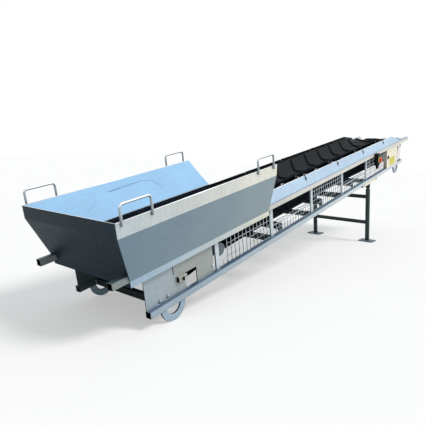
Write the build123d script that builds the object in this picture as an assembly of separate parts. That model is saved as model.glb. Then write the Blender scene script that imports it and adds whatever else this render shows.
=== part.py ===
from build123d import *
from math import acos, atan2, cos, degrees, hypot, pi, radians, sin, tan
import os

# An inclined belt conveyor with a feed hopper at its foot and a folding stand under its head.
# Lengths are millimetres and angles degrees. The frame is drawn level and tipped up at the end:
# u runs along the rails towards the head, v across, w square to the rails. The near side is
# v below zero, and u = 0, w = 0 is the foot end of the lower rails' underside.

os.makedirs("parts", exist_ok=True)

# Slope and side frames
INCLINE = 10.7
HALF_WIDTH = 350.0
FRAME_HEIGHT = 306.0
RAIL = 40.0
RAIL_WALL = 3.0
UPPER_RAIL_START = -216.0
UPPER_RAIL_END = 4982.0
LOWER_RAIL_LENGTH = 4708.0
POST_START = 626.0
POST_PITCH = 691.0
POST_COUNT = 5
POST_WIDTH = 38.0
WEB_DEPTH = 12.0
OVERRUN = 20.0

# Plates at both ends of the side frames
FOOT_PLATE_LENGTH = 595.0
FOOT_PLATE_THICKNESS = 6.0
WINDOW_START = 328.0
WINDOW_LENGTH = 102.0
WINDOW_TOP = 140.0
HEAD_PLATE_START = 4059.0
HEAD_PLATE_LENGTH = 561.0
HEAD_PLATE_THICKNESS = 6.0
HEAD_PLATE_RETURN = 6.0
SHAFT_SLOT_HEIGHT = 46.0
CROSS_TUBE_START = 130.0

# Lifting eyes, half rings under the lower rails
EYE_RADIUS = 102.0
EYE_BORE = 58.0
EYE_THICKNESS = 12.0
FOOT_EYE_PLACE = 194.0
HEAD_EYE_INSET = 228.0

# Mesh guards in the side frames
MESH_WIRE = 4.0
MESH_PITCH = 92.0
HALF_GUARD_TOP = 120.0
HALF_GUARD_LEDGE = 50.0
CORNER_LENGTH = 92.0
CORNER_HEIGHT = 46.0

# Belt, drums and rollers
BELT_WIDTH = 500.0
BELT_THICKNESS = 8.0
TROUGH_FLAT = 160.0
TROUGH_ANGLE = 33.0
CARRY_DROP = 6.0
BEND_LEAD = 10.0
CLEAT_HEIGHT = 17.0
CLEAT_THICKNESS = 14.0
CLEAT_PITCH = 318.0
CLEAT_SWEEP = 49.0
CLEAT_MARGIN = 16.0
CLEAT_ROUND = 70.0
CLEAT_OFFSET = 270.0
CLEAT_ROOT = 3.0
CLEAT_CORNER = 6.0
CLEAT_FLAT_PIECES = 2
CLEAT_WING_PIECES = 4
FLATNESS = 0.0001
BELT_GAP = 0.3
TAIL_PLACE = 288.0
TAIL_HEIGHT = 126.0
TAIL_RADIUS = 75.0
HEAD_PLACE = 4487.0
HEAD_DROP = 99.0
HEAD_RADIUS = 120.0
DRUM_CLEARANCE = 35.0
SHAFT_RADIUS = 17.5
SNUB_RADIUS = 45.0
SNUB_SHAFT_RADIUS = 10.0
TAIL_SNUB_PLACE = 693.0
TAIL_SNUB_HEIGHT = 154.0
HEAD_SNUB_PLACE = 4108.0
HEAD_SNUB_HEIGHT = 154.0
SNUB_HOLE_RADIUS = 40.0
ARM_HALF_HEIGHT = 20.0
ROLLER_RADIUS = 25.0
ROLLER_GAP = 10.0
ROLLER_SIDES = 16
IDLER_START = 544.0
IDLER_PITCH = 689.0
IDLER_COUNT = 6
BAR_THICKNESS = 10.0
BAR_DEPTH = 30.0
BAR_CLEARANCE = 8.0
LUG_RISE = 8.0
LUG_THICKNESS = 8.0
HOOK_THICKNESS = 8.0
HOOK_DEPTH = 12.0
HOOK_LENGTH = 34.0
RETURN_START = 1480.0
RETURN_PITCH = 770.0
RETURN_COUNT = 3
RETURN_RADIUS = 30.0
BRACKET_WIDTH = 50.0
BRACKET_THICKNESS = 8.0
BRACKET_RISE = 16.0
TAKE_UP_LENGTH = 70.0
TAKE_UP_HEIGHT = 36.0
TAKE_UP_THICKNESS = 22.0

# Side skirts along the belt
SKIRT_HEIGHT = 91.0
SKIRT_FOOT_INSET = 10.0
SKIRT_TOP_INSET = 38.0
SKIRT_SHEET = 4.0
SKIRT_FOOT = 26.0
SKIRT_START = 20.0
SKIRT_END = 4700.0
SKIRT_TAPER_START = 4330.0
SKIRT_END_HEIGHT = 24.0
SKIRT_SLOT_WIDTH = 14.0
SKIRT_HOLE_INSET = 40.0
SKIRT_HOLE_RADIUS = 6.0

# Feed hopper
HOPPER_SHEET = 5.0
HOPPER_RISE = 315.0
HOPPER_LIP = 78.0
HOPPER_HALF_WIDTH = 426.0
FLANGE_DROP = 33.0
FLANGE_HEIGHT = 37.0
HOPPER_FRONT_TOP = -195.0
HOPPER_FRONT_FOOT = -105.0
HOPPER_REAR_TOP = 1276.0
HOPPER_REAR_BEND = 1263.0
HOPPER_REAR_FOOT = 1249.0
APRON_THICKNESS = 6.0
LINING_INSET = 9.0
LINING_RISE = 36.0
APRON_GAP = 4.0
TAIL_APRON_REACH = 28.0
TAIL_APRON_GAP = 18.0
HANDLE_RADIUS = 7.0
HANDLE_SIDES = 8
HANDLE_BEND = 13.0
HANDLE_LEG = 105.0
HANDLE_OVERLAP = 21.0
FRONT_HANDLE_START = -162.0
REAR_HANDLE_START = 1020.0
HANDLE_SPAN = 200.0

# Switch box on the near side, and the blank plate
SWITCH_PLACE = 3628.0
SWITCH_WIDTH = 80.0
SWITCH_DROP = 6.0
SWITCH_HEIGHT = 135.0
SWITCH_DEPTH = 42.0
BUTTON_RISE = 63.0
BUTTON_RADIUS = 34.0
BUTTON_DEPTH = 16.0
COLLAR_RADIUS = 30.0
COLLAR_DEPTH = 14.0
INLET_RADIUS = 17.0
INLET_LENGTH = 42.0
INLET_COLLAR = 12.0
CONTROL_SIDES = 24
BLANK_PLATE_START = 4170.0
BLANK_PLATE_LENGTH = 190.0
BLANK_PLATE_BOTTOM = 58.0
BLANK_PLATE_HEIGHT = 92.0
BLANK_PLATE_THICKNESS = 1.5

# Folding stand
STAND_INSET = 1258.0
LEG_RADIUS = 24.15
PIVOT_DROP = 52.0
PIVOT_RADIUS = 10.0
SHOE_LENGTH = 466.0
SHOE_WALL = 8.0
SHOE_BASE = 14.0
SHOE_LIP = 15.0
EAR_THICKNESS = 10.0
EAR_RADIUS = 22.0
EAR_GAP = 2.0
TONGUE_THICKNESS = 12.0
TONGUE_LENGTH = 30.0
TONGUE_RADIUS = 20.0
PIN_END = 3.0
PIN_CLEARANCE = 0.1
CROSSBAR_RADIUS = 21.2
UPPER_CROSSBAR = -175.0
LOWER_CROSSBAR = -486.0
BASE_PLATE = 165.0
BASE_PLATE_THICKNESS = 10.0
BASE_PLATE_CORNER = 20.0

# Places worked out from the sizes above
INNER_FACE = HALF_WIDTH - RAIL
RAIL_MIDDLE = HALF_WIDTH - RAIL / 2
WEB_FACE = INNER_FACE + WEB_DEPTH
UPPER_UNDERSIDE = FRAME_HEIGHT - RAIL
CARRY_HEIGHT = FRAME_HEIGHT - CARRY_DROP
HEAD_HEIGHT = FRAME_HEIGHT - HEAD_DROP
SKIRT_TOP = FRAME_HEIGHT + SKIRT_HEIGHT
HOPPER_TOP = FRAME_HEIGHT + HOPPER_RISE
FLANGE_TOP = FRAME_HEIGHT - FLANGE_DROP
FLANGE_BOTTOM = FLANGE_TOP - FLANGE_HEIGHT
HANDLE_FOOT = HOPPER_TOP - HANDLE_OVERLAP
SWITCH_BOTTOM = FRAME_HEIGHT - SWITCH_DROP - SWITCH_HEIGHT
BUTTON_HEIGHT = SWITCH_BOTTOM + BUTTON_RISE
HEAD_EYE_PLACE = LOWER_RAIL_LENGTH - HEAD_EYE_INSET
STAND_PLACE = LOWER_RAIL_LENGTH - STAND_INSET
DRUM_WIDTH = 2 * (INNER_FACE - DRUM_CLEARANCE)
MESH_FACE = INNER_FACE + (WEB_DEPTH - MESH_WIRE) / 2
IDLERS = [IDLER_START + IDLER_PITCH * i for i in range(IDLER_COUNT)]
RETURNS = [RETURN_START + RETURN_PITCH * i for i in range(RETURN_COUNT)]
POSTS = [POST_START + POST_PITCH * i for i in range(POST_COUNT)]
WING = (BELT_WIDTH - TROUGH_FLAT) / 2
SKIRT_FOOT_FACE = HALF_WIDTH - SKIRT_FOOT_INSET
SKIRT_TOP_FACE = HALF_WIDTH - SKIRT_TOP_INSET
RETURN_LEVEL = TAIL_SNUB_HEIGHT - SNUB_RADIUS + CLEAT_HEIGHT + BELT_THICKNESS
RETURN_AXIS = RETURN_LEVEL - BELT_THICKNESS - CLEAT_HEIGHT - RETURN_RADIUS - BELT_GAP
IDLER_AXIS = ROLLER_RADIUS + BELT_GAP
SKIRT_LEAN = (SKIRT_TOP_INSET - SKIRT_FOOT_INSET) / (SKIRT_TOP - FRAME_HEIGHT)
FLANGE_FACE = HALF_WIDTH + HOPPER_SHEET
LIP_BOTTOM = HOPPER_TOP - HOPPER_LIP
FLOOR_LIFT = EYE_RADIUS - FOOT_EYE_PLACE * sin(radians(INCLINE))


def block(u0, u1, v0, v1, w0, w1):
    """A box between two corners."""
    return Pos((u0 + u1) / 2, (v0 + v1) / 2, (w0 + w1) / 2) * Box(u1 - u0, v1 - v0, w1 - w0)


def rod(u, w, radius, v0, v1):
    """A round bar across the conveyor, between two places on v."""
    return Pos(u, (v0 + v1) / 2, w) * Rot(90, 0, 0) * Cylinder(radius, v1 - v0)


def side_sheet(points, v0, v1):
    """A flat sheet seen from the side: an outline in u and w, from one place on v to another."""
    outline = make_face(Plane.XZ * Polyline(*points, close=True))
    return Pos(0, v0, 0) * extrude(outline, amount=v1 - v0, dir=(0, 1, 0))


def long_profile(points, u0, u1):
    """A section in v and w, drawn out along u."""
    section = make_face(Plane.YZ * Polyline(*points, close=True))
    return Pos(u0, 0, 0) * extrude(section, amount=u1 - u0, dir=(1, 0, 0))


def far(shape):
    """The same piece on the other side of the conveyor."""
    return mirror(shape, about=Plane.XZ)


def group(shapes):
    """Several solids kept apart in one sub-part."""
    return Compound(children=[solid for shape in shapes for solid in shape.solids()])


# Side frames

def rail(u0, u1, bottom):
    """A square tube with open ends."""
    outer = block(u0, u1, -HALF_WIDTH, -INNER_FACE, bottom, bottom + RAIL)
    bore = block(u0 - OVERRUN, u1 + OVERRUN, -HALF_WIDTH + RAIL_WALL, -INNER_FACE - RAIL_WALL,
                 bottom + RAIL_WALL, bottom + RAIL - RAIL_WALL)
    return outer - bore


def posts():
    """Flat uprights between the rails."""
    return group([block(u, u + POST_WIDTH, -WEB_FACE, -INNER_FACE, RAIL, UPPER_UNDERSIDE) for u in POSTS])


def foot_plate():
    """The closed web at the foot, with a window beside the take-up and a bore for its shaft."""
    face = WEB_FACE
    inner = face - FOOT_PLATE_THICKNESS
    sheet = block(0, FOOT_PLATE_LENGTH, -face, -inner, RAIL, UPPER_UNDERSIDE)
    window = block(WINDOW_START, WINDOW_START + WINDOW_LENGTH, -face - OVERRUN, -inner + OVERRUN,
                   RAIL - OVERRUN, WINDOW_TOP)
    bore = rod(TAIL_PLACE, TAIL_HEIGHT, SHAFT_RADIUS, -face - OVERRUN, -inner + OVERRUN)
    return sheet - window - bore


def head_plate():
    """The bearing plate at the head, flush with the rails, with its openings and a bent-in edge.

    An arm on that edge holds the snub roller's shaft."""
    face = HALF_WIDTH
    inner = face - HEAD_PLATE_THICKNESS
    sheet = block(HEAD_PLATE_START, HEAD_PLATE_START + HEAD_PLATE_LENGTH, -face, -inner,
                  RAIL, UPPER_UNDERSIDE)
    edge = block(HEAD_PLATE_START, HEAD_PLATE_START + HEAD_PLATE_RETURN, -inner, -INNER_FACE,
                 RAIL, UPPER_UNDERSIDE)
    hole = rod(HEAD_SNUB_PLACE + HEAD_PLATE_RETURN, HEAD_SNUB_HEIGHT, SNUB_HOLE_RADIUS,
               -face - OVERRUN, -inner + OVERRUN)
    slot = block(HEAD_PLACE - SHAFT_RADIUS / 2, HEAD_PLACE + SHAFT_RADIUS / 2, -face - OVERRUN,
                 -inner + OVERRUN, HEAD_HEIGHT - SHAFT_SLOT_HEIGHT / 2, HEAD_HEIGHT + SHAFT_SLOT_HEIGHT / 2)
    arm = block(HEAD_PLATE_START + HEAD_PLATE_RETURN, HEAD_SNUB_PLACE + 2 * SNUB_SHAFT_RADIUS,
                -WEB_FACE, -INNER_FACE,
                HEAD_SNUB_HEIGHT - ARM_HALF_HEIGHT, HEAD_SNUB_HEIGHT + ARM_HALF_HEIGHT)
    return sheet + edge + arm - hole - slot


def eye(u):
    """A half ring welded under the lower rail."""
    ring = rod(u, 0, EYE_RADIUS, -RAIL_MIDDLE - EYE_THICKNESS / 2, -RAIL_MIDDLE + EYE_THICKNESS / 2)
    bore = rod(u, 0, EYE_BORE, -HALF_WIDTH, -INNER_FACE)
    upper = block(u - 2 * EYE_RADIUS, u + 2 * EYE_RADIUS, -HALF_WIDTH, -INNER_FACE, 0, 2 * EYE_RADIUS)
    return ring - bore - upper


def cross_tubes():
    """Square tubes between the lower rails."""
    foot = block(CROSS_TUBE_START, CROSS_TUBE_START + RAIL, -INNER_FACE, INNER_FACE, 0, RAIL)
    low = [block(u, u + RAIL, -INNER_FACE, INNER_FACE, 0, RAIL) for u in POSTS[1:]]
    return group([foot] + low)


# Mesh guards

def mesh(u0, u1, w0, w1):
    """Welded mesh in the plane of the posts, with a wire all round its edge."""
    panel = block(u0, u1, -MESH_FACE - MESH_WIRE, -MESH_FACE, w0, w1)
    columns = round((u1 - u0 - MESH_WIRE) / MESH_PITCH)
    rows = max(1, round((w1 - w0 - MESH_WIRE) / MESH_PITCH))
    step_u = (u1 - u0 - MESH_WIRE) / columns
    step_w = (w1 - w0 - MESH_WIRE) / rows
    cells = [block(u0 + MESH_WIRE + step_u * i, u0 + step_u * (i + 1), -MESH_FACE - MESH_WIRE, -MESH_FACE,
                   w0 + MESH_WIRE + step_w * j, w0 + step_w * (j + 1))
             for i in range(columns) for j in range(rows)]
    return panel.cut(*cells)


def full_guards():
    """Guards as high as the bay, the first with a corner cut away beside the snub roller."""
    cut_u = POSTS[0] + POST_WIDTH + CORNER_LENGTH
    first = mesh(cut_u, POSTS[1], RAIL, UPPER_UNDERSIDE)
    middle = mesh(POSTS[2] + POST_WIDTH, POSTS[3], RAIL, UPPER_UNDERSIDE)
    last = mesh(POSTS[4] + POST_WIDTH, HEAD_PLATE_START, RAIL, UPPER_UNDERSIDE)
    corner = mesh(POSTS[0] + POST_WIDTH, cut_u, RAIL, RAIL + CORNER_HEIGHT)
    return group([first + corner, middle, last])


def half_guard(bay):
    """A guard over the lower half of a bay, its top row folded in over the return belt."""
    u0 = POSTS[bay] + POST_WIDTH
    u1 = POSTS[bay + 1]
    wall = mesh(u0, u1, RAIL, HALF_GUARD_TOP)
    shelf = mesh(u0, u1, 0, HALF_GUARD_LEDGE)
    shelf = Pos(0, -MESH_FACE - MESH_WIRE, HALF_GUARD_TOP) * Rot(-90, 0, 0) * Pos(0, MESH_FACE, 0) * shelf
    return wall + shelf


# Belt path: lines and arcs of the belt's inner face, in the direction that the belt runs

def tangent(centre, radius, point, turn):
    """The angle on a drum where the belt from a point outside it touches it."""
    du = point[0] - centre[0]
    dw = point[1] - centre[1]
    return degrees(atan2(dw, du)) + turn * degrees(acos(radius / hypot(du, dw)))


def on_circle(centre, radius, angle):
    """A point on a circle in u and w."""
    return (centre[0] + radius * cos(radians(angle)), centre[1] + radius * sin(radians(angle)))


TAIL_AXIS = (TAIL_PLACE, TAIL_HEIGHT)
HEAD_AXIS = (HEAD_PLACE, HEAD_HEIGHT)
TAIL_SNUB_TOUCH = (TAIL_SNUB_PLACE, TAIL_SNUB_HEIGHT - SNUB_RADIUS - BELT_GAP)
HEAD_SNUB_TOUCH = (HEAD_SNUB_PLACE, HEAD_SNUB_HEIGHT - SNUB_RADIUS - BELT_GAP)
# The belt bends a little beyond the end idlers, so that it rests on their rollers
CARRY_START = (IDLERS[0] - BEND_LEAD, CARRY_HEIGHT)
CARRY_END = (IDLERS[-1] + BEND_LEAD, CARRY_HEIGHT)
HEAD_MEET = tangent(HEAD_AXIS, HEAD_RADIUS, CARRY_END, -1)
HEAD_LEAVE = tangent(HEAD_AXIS, HEAD_RADIUS, HEAD_SNUB_TOUCH, 1) - 360
TAIL_MEET = tangent(TAIL_AXIS, TAIL_RADIUS, TAIL_SNUB_TOUCH, -1)
TAIL_LEAVE = tangent(TAIL_AXIS, TAIL_RADIUS, CARRY_START, 1)
TAIL_TOP = on_circle(TAIL_AXIS, TAIL_RADIUS, TAIL_LEAVE)
HEAD_TOP = on_circle(HEAD_AXIS, HEAD_RADIUS, HEAD_MEET)
RETURN_POINTS = [on_circle(HEAD_AXIS, HEAD_RADIUS, HEAD_LEAVE), HEAD_SNUB_TOUCH,
                 (RETURNS[-1], RETURN_LEVEL), (RETURNS[0], RETURN_LEVEL), TAIL_SNUB_TOUCH,
                 on_circle(TAIL_AXIS, TAIL_RADIUS, TAIL_MEET)]
# Columns: kind, then for a line its two ends and the trough angle at each, and for an arc its
# centre, radius, first angle and last angle.
BELT_PATH = [("line", TAIL_TOP, CARRY_START, 0, TROUGH_ANGLE),
             ("line", CARRY_START, CARRY_END, TROUGH_ANGLE, TROUGH_ANGLE),
             ("line", CARRY_END, HEAD_TOP, TROUGH_ANGLE, 0),
             ("arc", HEAD_AXIS, HEAD_RADIUS, HEAD_MEET, HEAD_LEAVE)]
BELT_PATH += [("line", a, b, 0, 0) for a, b in zip(RETURN_POINTS, RETURN_POINTS[1:])]
BELT_PATH += [("arc", TAIL_AXIS, TAIL_RADIUS, TAIL_MEET, TAIL_LEAVE - 360)]


def stretch_length(stretch):
    """The length of one line or arc, an arc's taken on the belt's outer face."""
    if stretch[0] == "line":
        return hypot(stretch[2][0] - stretch[1][0], stretch[2][1] - stretch[1][1])
    return radians(stretch[3] - stretch[4]) * (stretch[2] + BELT_THICKNESS)


BELT_LENGTH = sum(stretch_length(stretch) for stretch in BELT_PATH)


def belt_place(along):
    """Place on the inner face, running direction in degrees and trough angle, at a distance along."""
    along = along % BELT_LENGTH
    for stretch in BELT_PATH:
        length = stretch_length(stretch)
        if along <= length:
            break
        along -= length
    share = along / length
    if stretch[0] == "arc":
        angle = stretch[3] + (stretch[4] - stretch[3]) * share
        return on_circle(stretch[1], stretch[2], angle), angle - 90, 0
    (u0, w0), (u1, w1) = stretch[1], stretch[2]
    trough = stretch[3] + (stretch[4] - stretch[3]) * share
    return (u0 + (u1 - u0) * share, w0 + (w1 - w0) * share), degrees(atan2(w1 - w0, u1 - u0)), trough


def trough_point(reach, trough):
    """Place across and height over the inner face, of the outer face at a reach from the middle."""
    flat = TROUGH_FLAT / 2 - BELT_THICKNESS * tan(radians(trough / 2))
    if reach <= TROUGH_FLAT / 2:
        return flat * reach * 2 / TROUGH_FLAT, BELT_THICKNESS
    rise = reach - TROUGH_FLAT / 2
    return flat + rise * cos(radians(trough)), BELT_THICKNESS + rise * sin(radians(trough))


def cleat_lead(reach):
    """How far along the belt a cleat is ahead of its rounded point, at a reach from the middle."""
    return tan(radians(CLEAT_SWEEP)) * (hypot(reach, CLEAT_ROUND) - CLEAT_ROUND)


def cleat_section(along, reach):
    """Corners of a cleat's section at a reach from the middle, below zero on the near side."""
    (u, w), heading, trough = belt_place(along + cleat_lead(reach))
    across, height = trough_point(abs(reach), trough)
    lean = radians(trough) if abs(reach) > TROUGH_FLAT / 2 else 0
    side = -1 if reach < 0 else 1
    forward = Vector(cos(radians(heading)), 0, sin(radians(heading)))
    up = Vector(-sin(radians(heading)), 0, cos(radians(heading)))
    normal = up * cos(lean) + Vector(0, -side * sin(lean), 0)
    foot = Vector(u, side * across, w) + up * height
    half = forward * (CLEAT_THICKNESS / 2 / cos(radians(CLEAT_SWEEP)))
    root = foot - normal * CLEAT_ROOT
    top = foot + normal * CLEAT_HEIGHT
    return [root - half, root + half, top + half, top - half]


def skin(corners):
    """One face through four corners, or two if they don't lie in one plane."""
    a, b, c, d = corners
    if abs((b - a).cross(c - a).normalized().dot(d - a)) < FLATNESS:
        return [make_face(Polyline(a, b, c, d, close=True)).face()]
    return [make_face(Polyline(a, b, c, close=True)).face(), make_face(Polyline(a, c, d, close=True)).face()]


def skinned(sections):
    """A solid with flat faces over a row of sections, each a ring of as many corners."""
    faces = [make_face(Polyline(*ring, close=True)).face() for ring in (sections[0], sections[-1])]
    for here, there in zip(sections, sections[1:]):
        for i, corner in enumerate(here):
            faces += skin([here[i - 1], corner, there[i], there[i - 1]])
    return Solid(Shell(faces))


def cleat_reaches(flat_pieces, wing_pieces):
    """Reaches of a cleat's sections from one end to the other, two of them close to each bend."""
    inner = TROUGH_FLAT / 2 - CLEAT_CORNER
    outer = TROUGH_FLAT / 2 + CLEAT_CORNER
    end = BELT_WIDTH / 2 - CLEAT_MARGIN
    half = [inner * (i + 1) / flat_pieces for i in range(flat_pieces)]
    half += [outer + (end - outer) * i / wing_pieces for i in range(wing_pieces + 1)]
    return [-reach for reach in reversed(half)] + [0] + half


def cleats():
    """Chevron cleats all round the belt, in more and shorter pieces where they bend over a drum."""
    count = int(BELT_LENGTH // CLEAT_PITCH)
    pitch = BELT_LENGTH / count
    bent = cleat_reaches(CLEAT_FLAT_PIECES, CLEAT_WING_PIECES)
    made = []
    for i in range(count):
        point = CLEAT_OFFSET + pitch * i
        headings = [belt_place(point + cleat_lead(reach))[1] for reach in bent]
        reaches = cleat_reaches(1, 1) if max(headings) - min(headings) < 1 else bent
        made.append(skinned([cleat_section(point, reach) for reach in reaches]))
    return made


def belt_section(place, heading, trough):
    """The belt's section across: a flat middle and two wings raised by the trough angle."""
    flat = TROUGH_FLAT / 2
    lean = radians(trough)
    mitre = BELT_THICKNESS * tan(lean / 2)
    tip = (flat + WING * cos(lean), WING * sin(lean))
    top = (tip[0] - BELT_THICKNESS * sin(lean), tip[1] + BELT_THICKNESS * cos(lean))
    half = [(flat, 0), tip, top, (flat - mitre, BELT_THICKNESS)]
    other = [(-v, w) for v, w in reversed(half)]
    section = make_face(Plane.YZ * Polyline(*half, *other, close=True))
    return Pos(place[0], 0, place[1]) * Rot(0, -heading, 0) * section


def outer_points(points, thickness):
    """Corner points of a strand's outer face, on the left of the direction that it runs."""
    outer = []
    for before, here, after in zip(points, points[1:], points[2:]):
        first = atan2(here[1] - before[1], here[0] - before[0])
        second = atan2(after[1] - here[1], after[0] - here[0])
        turn = (second - first + pi) % (2 * pi) - pi
        normal = first + turn / 2 + pi / 2
        reach = thickness / cos(turn / 2)
        outer.append((here[0] + reach * cos(normal), here[1] + reach * sin(normal)))
    return outer


def belt():
    """The endless belt: troughed on the idlers, flat over the drums and along the return."""
    sections = [belt_section(TAIL_TOP, TAIL_LEAVE - 90, 0),
                belt_section(CARRY_START, 0, TROUGH_ANGLE),
                belt_section(CARRY_END, 0, TROUGH_ANGLE),
                belt_section(HEAD_TOP, HEAD_MEET - 90, 0)]
    carry = [loft([a, b], ruled=True) for a, b in zip(sections, sections[1:])]
    outer = outer_points(RETURN_POINTS, BELT_THICKNESS)
    head_outer = HEAD_RADIUS + BELT_THICKNESS
    tail_outer = TAIL_RADIUS + BELT_THICKNESS
    head_sweep = HEAD_LEAVE - HEAD_MEET
    tail_sweep = TAIL_LEAVE - 360 - TAIL_MEET
    lines = [CenterArc(HEAD_AXIS, HEAD_RADIUS, HEAD_MEET, head_sweep), Polyline(*RETURN_POINTS),
             CenterArc(TAIL_AXIS, TAIL_RADIUS, TAIL_MEET, tail_sweep),
             Line(TAIL_TOP, on_circle(TAIL_AXIS, tail_outer, TAIL_LEAVE)),
             CenterArc(TAIL_AXIS, tail_outer, TAIL_MEET, tail_sweep),
             Polyline(on_circle(HEAD_AXIS, head_outer, HEAD_LEAVE), *outer,
                      on_circle(TAIL_AXIS, tail_outer, TAIL_MEET)),
             CenterArc(HEAD_AXIS, head_outer, HEAD_MEET, head_sweep),
             Line(HEAD_TOP, on_circle(HEAD_AXIS, head_outer, HEAD_MEET))]
    outline = make_face([Plane.XZ * edge for line in lines for edge in line.edges()])
    loop = extrude(outline, amount=BELT_WIDTH / 2, both=True)
    return loop.fuse(*carry, *cleats())


# Drums and rollers

def head_drum():
    """The driven drum, its motor inside, on a shaft that ends in the head plates' slots."""
    shell = rod(HEAD_PLACE, HEAD_HEIGHT, HEAD_RADIUS, -DRUM_WIDTH / 2, DRUM_WIDTH / 2)
    shaft = rod(HEAD_PLACE, HEAD_HEIGHT, SHAFT_RADIUS, -HALF_WIDTH + HEAD_PLATE_THICKNESS,
                HALF_WIDTH - HEAD_PLATE_THICKNESS)
    key = block(HEAD_PLACE - SHAFT_RADIUS / 2, HEAD_PLACE + SHAFT_RADIUS / 2, -HALF_WIDTH, HALF_WIDTH,
                HEAD_HEIGHT - SHAFT_RADIUS / 2, HEAD_HEIGHT + SHAFT_RADIUS / 2)
    return shell + shaft + key


def tail_drum():
    """The drum at the foot, on a shaft through the foot plates into the take-up blocks."""
    shell = rod(TAIL_PLACE, TAIL_HEIGHT, TAIL_RADIUS, -DRUM_WIDTH / 2, DRUM_WIDTH / 2)
    shaft = rod(TAIL_PLACE, TAIL_HEIGHT, SHAFT_RADIUS, -WEB_FACE, WEB_FACE)
    return shell + shaft


def take_up_block():
    """The block that holds the tail shaft, with the tension screw's head on its outer face."""
    body = block(TAIL_PLACE - TAKE_UP_LENGTH / 2, TAIL_PLACE + TAKE_UP_LENGTH / 2,
                 -WEB_FACE - TAKE_UP_THICKNESS, -WEB_FACE,
                 TAIL_HEIGHT - TAKE_UP_HEIGHT / 2, TAIL_HEIGHT + TAKE_UP_HEIGHT / 2)
    head = Pos(TAIL_PLACE, -WEB_FACE - TAKE_UP_THICKNESS, TAIL_HEIGHT) * Rot(90, 0, 0) * extrude(
        RegularPolygon(SHAFT_RADIUS * 2 / 3, 6), amount=SHAFT_RADIUS / 2)
    return body + head


def snub_rollers():
    """Rollers that press the return belt down behind the tail drum and before the head drum.

    The first turns between the posts, the second between the head plates' arms."""
    end = INNER_FACE
    tail = rod(TAIL_SNUB_PLACE, TAIL_SNUB_HEIGHT, SNUB_RADIUS, -end, end)
    head = rod(HEAD_SNUB_PLACE, HEAD_SNUB_HEIGHT, SNUB_RADIUS, -DRUM_WIDTH / 2, DRUM_WIDTH / 2)
    return group([tail, head + rod(HEAD_SNUB_PLACE, HEAD_SNUB_HEIGHT, SNUB_SHAFT_RADIUS, -end, end)])


def return_rollers():
    """Rollers under the return belt, from bracket to bracket."""
    end = INNER_FACE - BRACKET_THICKNESS
    return group([rod(u, RETURN_AXIS, RETURN_RADIUS, -end, end) for u in RETURNS])


def return_brackets():
    """Upright plates on the rails' inner faces that hold the return rollers."""
    top = RETURN_AXIS + BRACKET_RISE
    near = [block(u - BRACKET_WIDTH / 2, u + BRACKET_WIDTH / 2, -INNER_FACE, -INNER_FACE + BRACKET_THICKNESS,
                  0, top) for u in RETURNS]
    return group(near + [far(plate) for plate in near])


def wing_axis(reach, drop):
    """Place across and height of a point under the wing, at a reach along it and a drop below."""
    lean = radians(TROUGH_ANGLE)
    across = TROUGH_FLAT / 2 + reach * cos(lean) + drop * sin(lean)
    return across, CARRY_HEIGHT + reach * sin(lean) - drop * cos(lean)


def drum(radius, length, sides):
    """A round piece with flat sides, standing on its middle."""
    return Pos(0, 0, -length / 2) * extrude(RegularPolygon(radius, sides), amount=length)


def idler_rollers():
    """Three rollers at each idler: one flat in the middle and one under each wing."""
    wing_length = WING - ROLLER_GAP
    across, height = wing_axis(ROLLER_GAP + wing_length / 2, IDLER_AXIS)
    middle = drum(ROLLER_RADIUS, TROUGH_FLAT - ROLLER_GAP, ROLLER_SIDES)
    wing = drum(ROLLER_RADIUS, wing_length, ROLLER_SIDES)
    rollers = []
    for u in IDLERS:
        rollers.append(Pos(u, 0, CARRY_HEIGHT - IDLER_AXIS) * Rot(90, 0, 0) * middle)
        near = Pos(u, -across, height) * Rot(90 - TROUGH_ANGLE, 0, 0) * wing
        rollers += [near, far(near)]
    return group(rollers)


def meet_skirt(place, offset):
    """Where a line at the trough's slope through a place meets the skirt's outer face, moved out."""
    slope = tan(radians(TROUGH_ANGLE))
    across = SKIRT_FOOT_FACE + offset - SKIRT_LEAN * (place[1] - place[0] * slope - FRAME_HEIGHT)
    across = across / (1 + SKIRT_LEAN * slope)
    return across, place[1] + (across - place[0]) * slope


def skirt_face(height):
    """How far out the skirt's outer face is at a height."""
    return SKIRT_FOOT_FACE - SKIRT_LEAN * (height - FRAME_HEIGHT)


def idler_bar():
    """Outline corners of the bar under one side of an idler: its bend, hook and underside."""
    lean = radians(TROUGH_ANGLE)
    drop = 2 * ROLLER_RADIUS + BAR_CLEARANCE
    bend = (TROUGH_FLAT / 2 + drop * tan(lean / 2), CARRY_HEIGHT - drop)
    under = (bend[0] + BAR_DEPTH * tan(lean / 2), bend[1] - BAR_DEPTH)
    top = meet_skirt(bend, HOOK_THICKNESS)
    seat = meet_skirt((bend[0] + HOOK_DEPTH * tan(lean / 2), bend[1] - HOOK_DEPTH), 0)
    inside = SKIRT_TOP_FACE - 2 * SKIRT_SHEET
    slope = tan(lean)
    step = (inside, under[1] + (inside - under[0]) * slope)
    notch = (inside, seat[1] + (inside - seat[0]) * slope)
    foot = top[1] - HOOK_LENGTH
    hook = [top, (skirt_face(foot) + HOOK_THICKNESS, foot), (skirt_face(foot), foot), seat]
    return [bend] + hook + [notch, step, under], seat


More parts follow.
